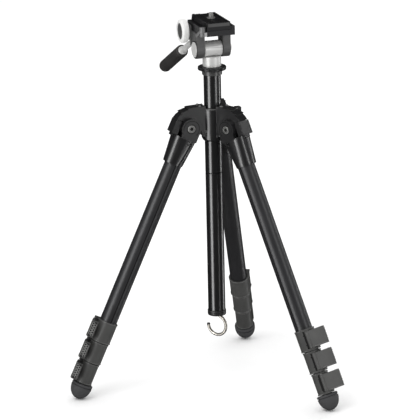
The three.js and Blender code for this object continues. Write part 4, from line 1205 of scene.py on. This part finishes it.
@dataclass
class PanHead:
    """The head: neck, barrel, yoke, axle, clamp, plate, handle and knobs."""

    place: Place = field(default_factory=head_place)
    neck_radius: float = 11.75
    neck_top: float = -9.2
    barrel_radius: float = 10.0
    barrel_length: float = 11.75
    bore_radius: float = 4.25
    recess_radius: float = 3.7
    yoke_edge: float = 0.9
    boss_radius: float = 11.75
    cap_radius: float = 9.6
    cap_face: float = 23.8
    knob_radius: float = 15.0
    knob_teeth: int = 44
    knob_at: tuple[float, float] = (-25.0, 19.6)
    knob_span: Span = (24.3, 33.7)
    knob_disc: float = 10.4
    rod_radius: float = 3.6
    rod_length: float = 61.0
    grip_radius: float = 8.0
    grip_length: float = 87.0
    handle_root: tuple[float, float, float] = (17.025, -12.0, 11.1)
    handle_angle: float = 25.9
    screw_radius: float = 3.175
    screw_pitch: float = 1.27
    plate_half: tuple[float, float] = (15.8, 31.2)
    plate_heights: Span = (29.0, 39.0)
    rib_lifts: tuple[float, ...] = (3.4, 5.2, 7.0)
    rib_height: float = 0.8
    strip_rows: tuple[float, ...] = (-9.2, -5.8, 5.8, 9.2)
    strip_middle: float = 20.5
    strip_half: tuple[float, float] = (1.35, 9.6)
    jaw_trim: Box = ((-25, -15), (-40, 40), (33.4, 40))
    jaw_end: Box = ((-20.3, -16.6), (30.7, 31.15), (28.4, 33.0))
    front_lip: Box = ((-20.6, 19.4), (30.75, 31.15), (22.9, 27.6))

    def build(self) -> None:
        """Models the head's pieces and puts them into the frame."""
        self._neck()
        self._yoke()
        self._axle()
        self._side_knob()
        self._handle()
        self._clamp()
        self._plate()
        self._camera_screw()

    def _neck(self) -> None:
        """Makes the neck with its barrel, which are bright."""
        low = self.place.box("pan_base")[0].z
        radius, top = self.neck_radius, self.neck_top
        neck = turned("head_neck", [
            (5.0, low), (radius - 0.4, low), (radius, low + 0.4), (radius, low + 1.6),
            (radius - 0.25, low + 1.75), (radius - 0.25, low + 2.0), (radius, low + 2.15),
            (radius, top - 0.8), (radius - 0.8, top), (3.0, top), (3.0, -1.2), (0, -1.2),
            (0, low + 9.2), (5.0, low + 9.2), (5.0, low),
        ])
        hollow = laid(drum("hollow", self.barrel_radius + 0.3, -14, 14), "x")
        carved(hollow, drum("core", 3.0, -20, 20))
        carved(neck, hollow)
        dressed(smoothed(neck, 35), "pan", SATIN_SILVER, self.place, "pan_base")
        length, round_ = self.barrel_length, self.barrel_radius
        barrel = laid(ring("head_barrel", round_, self.bore_radius, -length, length, 0.5, 80), "x")
        recess = drum("recess", self.recess_radius, 5.5, 12)
        carved(barrel, recess, drum("notch", self.recess_radius, -12, -6))
        rounded(barrel, 0.3, 2, 40)
        dressed(barrel, "pan", SATIN_SILVER, self.place, "pan_barrel")

    def _yoke(self) -> None:
        """Makes the yoke, with soft edges."""
        yoke = rounded(cast_copy("tilt_yoke", "head_yoke", self.place), self.yoke_edge, 3)
        dressed(yoke, "tilt", HEAD_GREY, self.place, "tilt_yoke")

    def _axle(self) -> None:
        """Makes the tilt axle, its polished cap and the ring painted dark as the shadow round the cap."""
        low, _ = self.place.box("tilt_axle")
        face, radius = self.cap_face, self.cap_radius
        axle = turned("tilt_axle_pin", [
            (0, low.x), (3.6, low.x), (4.0, low.x + 0.4), (4.0, 22.3), (radius, 22.3), (radius, face - 0.4),
            (radius - 0.5, face), (radius - 1.4, face - 0.15), (0, face - 0.15),
        ], 80)
        nut = drum("nut", 6.0, low.x + 0.6, low.x + 3.0, 6)
        axle = merged("tilt_axle_pin", [laid(axle, "x"), laid(rounded(nut, 0.3), "x")])
        dressed(smoothed(axle), "tilt", SATIN_SILVER, self.place, "tilt_axle")
        # A ring painted dark as the shadow round the cap.
        shade = ring("axle_shadow_ring", self.boss_radius - 0.5, radius + 0.25, 22.0, 22.5)
        dressed(rounded(laid(shade, "x"), 0.15), "tilt", HEAD_BLACK, self.place)

    def _side_knob(self) -> None:
        """Makes the knurled side knob with its recessed grey disc."""
        low, high = self.knob_span
        radius, disc = self.knob_radius, self.knob_disc
        knob = turned("side_knob_body", [
            (0, 13.4), (2.5, 13.4), (2.5, low), (radius - 2.0, low), (radius - 0.4, low + 1.2),
            (radius, low + 2.2), (radius, high - 2.6), (radius - 0.5, high - 1.2),
            (radius - 1.8, high - 0.2), (radius - 2.6, high), (disc + 0.3, high),
            (disc, high - 0.4), (disc, high - 1.4), (0, high - 1.4),
        ], 88)
        knurled(knob, self.knob_teeth, drum("tooth", 0.5, low + 2.2, high - 2.8, 6), radius + 0.1)
        laid(knob, "x", (0, *self.knob_at))
        dressed(smoothed(knob, 28), "side_knob", WHITE_KNOB, self.place, "side_knob")
        insert = turned("side_knob_disc", [
            (0, high - 1.8), (disc - 0.15, high - 1.8), (disc - 0.15, high - 1.1),
            (disc - 0.5, high - 0.85), (0, high - 0.7),
        ])
        laid(insert, "x", (0, *self.knob_at))
        dressed(smoothed(insert), "side_knob", KNOB_INSERT, self.place)

    def _handle(self) -> None:
        """Makes the pan handle: rod, bright ring and rubber grip."""
        angle = math.radians(self.handle_angle)
        along = Vector((0, -math.cos(angle), -math.sin(angle)))
        place = self.place.inside(self.handle_root, (1, 0, 0), along)
        rod_end, tip = self.rod_length, self.rod_length + self.grip_length
        rod = turned("handle_rod_bar", [
            (0, -5.0), (self.rod_radius - 0.3, -5.0), (self.rod_radius, -4.7),
            (self.rod_radius, rod_end - 3.0),
            (4.9, rod_end - 3.0), (5.4, rod_end - 2.5), (5.4, rod_end - 0.8), (4.9, rod_end - 0.3),
            (3.6, rod_end - 0.3), (3.6, rod_end + 20), (0, rod_end + 20),
        ], 48)
        dressed(smoothed(rod), "pan_handle", SATIN_SILVER, place, "handle_rod")
        radius = self.grip_radius
        profile = [(3.8, rod_end), (radius - 1.6, rod_end)]
        profile += [(radius - 0.5, rod_end + 0.6), (radius, rod_end + 1.8)]
        for ring_at in (rod_end + 6.0, rod_end + 8.4, tip - 14.0, tip - 11.6):
            profile += [
                (radius, ring_at - 0.5), (radius - 0.35, ring_at - 0.3), (radius - 0.35, ring_at + 0.3),
                (radius, ring_at + 0.5),
            ]
        profile += [(radius, tip - 6.2), (7.6, tip - 4.2), (6.4, tip - 2.4), (4.9, tip - 1.0)]
        profile += [(2.9, tip - 0.15), (0, tip)]
        profile += [(0, rod_end + 20.5), (3.8, rod_end + 20.5), (3.8, rod_end)]
        grip = smoothed(turned("handle_grip_rubber", profile, 56), 50)
        dressed(grip, "pan_handle", GRIP_RUBBER, place, "handle_grip")

    def _clamp(self) -> None:
        """Makes the clamp under the plate, its bright front lip and jaw end, and the release lever."""
        clamp = cast_copy("quick_release_clamp", "plate_clamp", self.place)
        carved(clamp, block("jaw_trim", *self.jaw_trim))
        rounded(clamp, 0.7, 3)
        dressed(clamp, "tilt", HEAD_BLACK, self.place, "quick_release_clamp")
        for name, box in (("clamp_front_lip", self.front_lip), ("clamp_jaw_end", self.jaw_end)):
            dressed(rounded(block(name, *box), 0.15), "tilt", LIP_SILVER, self.place)
        lever = rounded(cast_copy("quick_release_lever", "release_lever", self.place), 0.6, 3)
        dressed(lever, "quick_release_lever", LEVER_GREY, self.place, "quick_release_lever")

    def _plate(self) -> None:
        """Makes the camera plate, with ribbed sides, rubber strips and a plain front panel."""
        half_x, half_y = self.plate_half
        low, high = self.plate_heights
        plate = rounded(cast_copy("quick_release_plate", "camera_plate", self.place), 0.5)
        dressed(plate, "quick_release_plate", PLATE_BLACK, self.place, "quick_release_plate")
        ribs = []
        for side in (-1, 1):
            for lift in self.rib_lifts:
                slope = 0.8 * (lift - 2.0) / 8.0
                x = beside(side, half_x - slope - 0.6, half_x - slope + 0.4)
                z = (low + lift, low + lift + self.rib_height)
                ribs.append(block("rib", x, (-half_y + 2.5, half_y - 3.5), z))
        rib = rounded(merged("plate_side_ribs", ribs), 0.2)
        dressed(rib, "quick_release_plate", PLATE_BLACK, self.place)
        strips = []
        width, length = self.strip_half
        for x in self.strip_rows:
            for y in (-self.strip_middle, self.strip_middle):
                across, lengthways = (x - width, x + width), (y - length, y + length)
                strips.append(block("strip", across, lengthways, (high - 1.2, high - 0.25)))
        strip = rounded(merged("plate_rubber_strips", strips), 0.3)
        dressed(strip, "quick_release_plate", PLATE_RUBBER, self.place)
        front = block("plate_front_panel", (-14.2, 14.2), (30.2, 30.9), (low + 2.2, high - 0.9))
        dressed(rounded(front, 0.25), "quick_release_plate", PANEL_GREY, self.place)

    def _camera_screw(self) -> None:
        """Makes the camera screw with its thread, its base ring and the two bumps beside it."""
        low, high = self.place.box("camera_screw")
        radius, pitch = self.screw_radius, self.screw_pitch
        floor = self.plate_heights[1] - 0.8
        profile = [(0, low.z), (7.9, low.z), (8.2, low.z + 0.3), (8.2, low.z + 2.0), (7.9, low.z + 2.3)]
        profile += [(radius, low.z + 2.3), (radius, floor + 0.3), (5.2, floor + 0.3), (5.5, floor + 0.6)]
        profile += [(5.5, floor + 1.1), (5.2, floor + 1.4), (radius - 0.35, floor + 1.4)]
        height = floor + 1.6
        while height + pitch < high.z - 0.4:
            profile += [(radius, height + pitch * 0.35), (radius, height + pitch * 0.55)]
            profile += [(radius - 0.42, height + pitch)]
            height += pitch
        profile += [(radius - 0.6, high.z - 0.1), (radius - 1.0, high.z), (0, high.z)]
        screw = turned("camera_screw_stud", profile, 48)
        for side in (-1, 1):
            bump = drum("bump", 1.5, floor + 0.3, floor + 1.9, 24)
            moved(rounded(bump, 0.3), Matrix.Translation((0, side * 6.1, 0)))
            screw = merged("camera_screw_stud", [screw, bump])
        dressed(smoothed(screw, 40), "camera_screw", BOLT_STEEL, self.place, "camera_screw")


# ---------------------------------------------------------------- the studio


@dataclass(frozen=True)
class CameraView:
    """The view of the camera: degrees, metres from the point it looks at, and millimetres of lens."""

    azimuth: float = 11.75
    elevation: float = 15.54
    distance: float = 4.334
    aim: tuple[float, float, float] = (-0.00949, -0.04599, 0.2285)
    roll: float = -1.19
    lens: float = 292.9


@dataclass(frozen=True)
class Softbox:
    """An area lamp, by where it stands, its size and its power in watts."""

    name: str
    at: tuple[float, float, float]
    size: Span
    power: float
    mirrored: bool = True  # seen in reflections
    lights: bool = True  # lights matt surfaces


class Studio:
    """A pale floor and backdrop in one, a bright sky, soft boxes and the camera."""

    SOFTBOXES = (
        Softbox("left_strip", (-0.98, -1.39, 0.1), (0.75, 2.6), 40.0, lights=False),
        Softbox("right_strip", (1.45, -0.88, 0.1), (0.35, 2.6), 18.0, lights=False),
        Softbox("edge_strip", (1.6, 0.84, 0.1), (0.3, 2.6), 14.0, lights=False),
        Softbox("key", (-0.5, -1.3, 2.1), (1.3, 0.9), 14.0),
        Softbox("rear", (0.4, 1.7, 1.4), (1.6, 1.0), 8.0, mirrored=False),
    )
    SKY = (1.06, 0.04)  # strength of the sky, and what of it the surfaces mirror

    def __init__(self, camera: CameraView) -> None:
        self.camera = camera

    def build(self) -> None:
        """Sets up the floor, the light and the camera."""
        self._floor()
        self._world()
        for softbox in self.SOFTBOXES:
            self._softbox(softbox)
        self._camera()
        bpy.context.scene.view_settings.view_transform = "Standard"

    def _floor(self) -> None:
        """Makes the floor, a wide sheet that is nearly white."""
        bpy.ops.object.select_all(action="DESELECT")
        bpy.ops.mesh.primitive_plane_add(size=60, location=(0, 0, -0.0004))
        floor = named("studio_floor")
        finish = Finish("floor_paper", "", (0.9, 0.9, 0.9), (0.92, 0.92, 0.92), (0.85, 0.95), specular=0.1)
        floor.data.materials.append(finish.material())
        floor.visible_glossy = False

    def _world(self) -> None:
        """Makes the sky bright and even, and dims it in reflections, as dark cards round a set do."""
        world = bpy.data.worlds.new("white_sky")
        bpy.context.scene.world = world
        world.use_nodes = True
        nodes, links = world.node_tree.nodes, world.node_tree.links
        background = next(node for node in nodes if node.type == "BACKGROUND")
        background.inputs["Color"].default_value = (1, 1, 1, 1)
        ray = nodes.new("ShaderNodeLightPath")
        strength = nodes.new("ShaderNodeMapRange")
        strength.inputs["To Min"].default_value = self.SKY[0]
        strength.inputs["To Max"].default_value = self.SKY[1]
        links.new(ray.outputs["Is Glossy Ray"], strength.inputs["Value"])
        links.new(strength.outputs["Result"], background.inputs["Strength"])

    def _softbox(self, softbox: Softbox) -> None:
        """Hangs one area lamp, which faces the middle of the object.

        Args:
            softbox: The lamp's values.
        """
        lamp = bpy.data.lights.new(softbox.name, "AREA")
        lamp.shape = "RECTANGLE"
        lamp.size, lamp.size_y = softbox.size
        lamp.energy = softbox.power
        holder = bpy.data.objects.new(softbox.name, lamp)
        holder.location = softbox.at
        facing = Vector((0, 0, 0.25)) - Vector(softbox.at)
        holder.rotation_euler = facing.to_track_quat("-Z", "Y").to_euler()
        bpy.context.scene.collection.objects.link(holder)
        holder.visible_camera = False
        holder.visible_glossy = softbox.mirrored
        holder.visible_diffuse = softbox.lights

    def _camera(self) -> None:
        """Places the camera."""
        view = self.camera
        azimuth, elevation = math.radians(view.azimuth), math.radians(view.elevation)
        level = math.cos(elevation)
        back = Vector((math.sin(azimuth) * level, -math.cos(azimuth) * level, math.sin(elevation)))
        lens = bpy.data.cameras.new("studio_camera")
        lens.lens = view.lens
        lens.clip_end = 100
        holder = bpy.data.objects.new("studio_camera", lens)
        turn = back.to_track_quat("Z", "Y").to_matrix() @ Matrix.Rotation(math.radians(view.roll), 3, "Z")
        holder.matrix_world = Matrix.Translation(Vector(view.aim) + back * view.distance) @ turn.to_4x4()
        bpy.context.scene.collection.objects.link(holder)
        bpy.context.scene.camera = holder


def main() -> None:
    """Builds the tripod sub-assembly by sub-assembly, then the studio."""
    logging.basicConfig(level=logging.INFO, format="%(name)s: %(message)s")
    Legs().build()
    Spider().build()
    Column().build()
    PanHead().build()
    Studio(CameraView()).build()


if __name__ == "__main__":
    main()
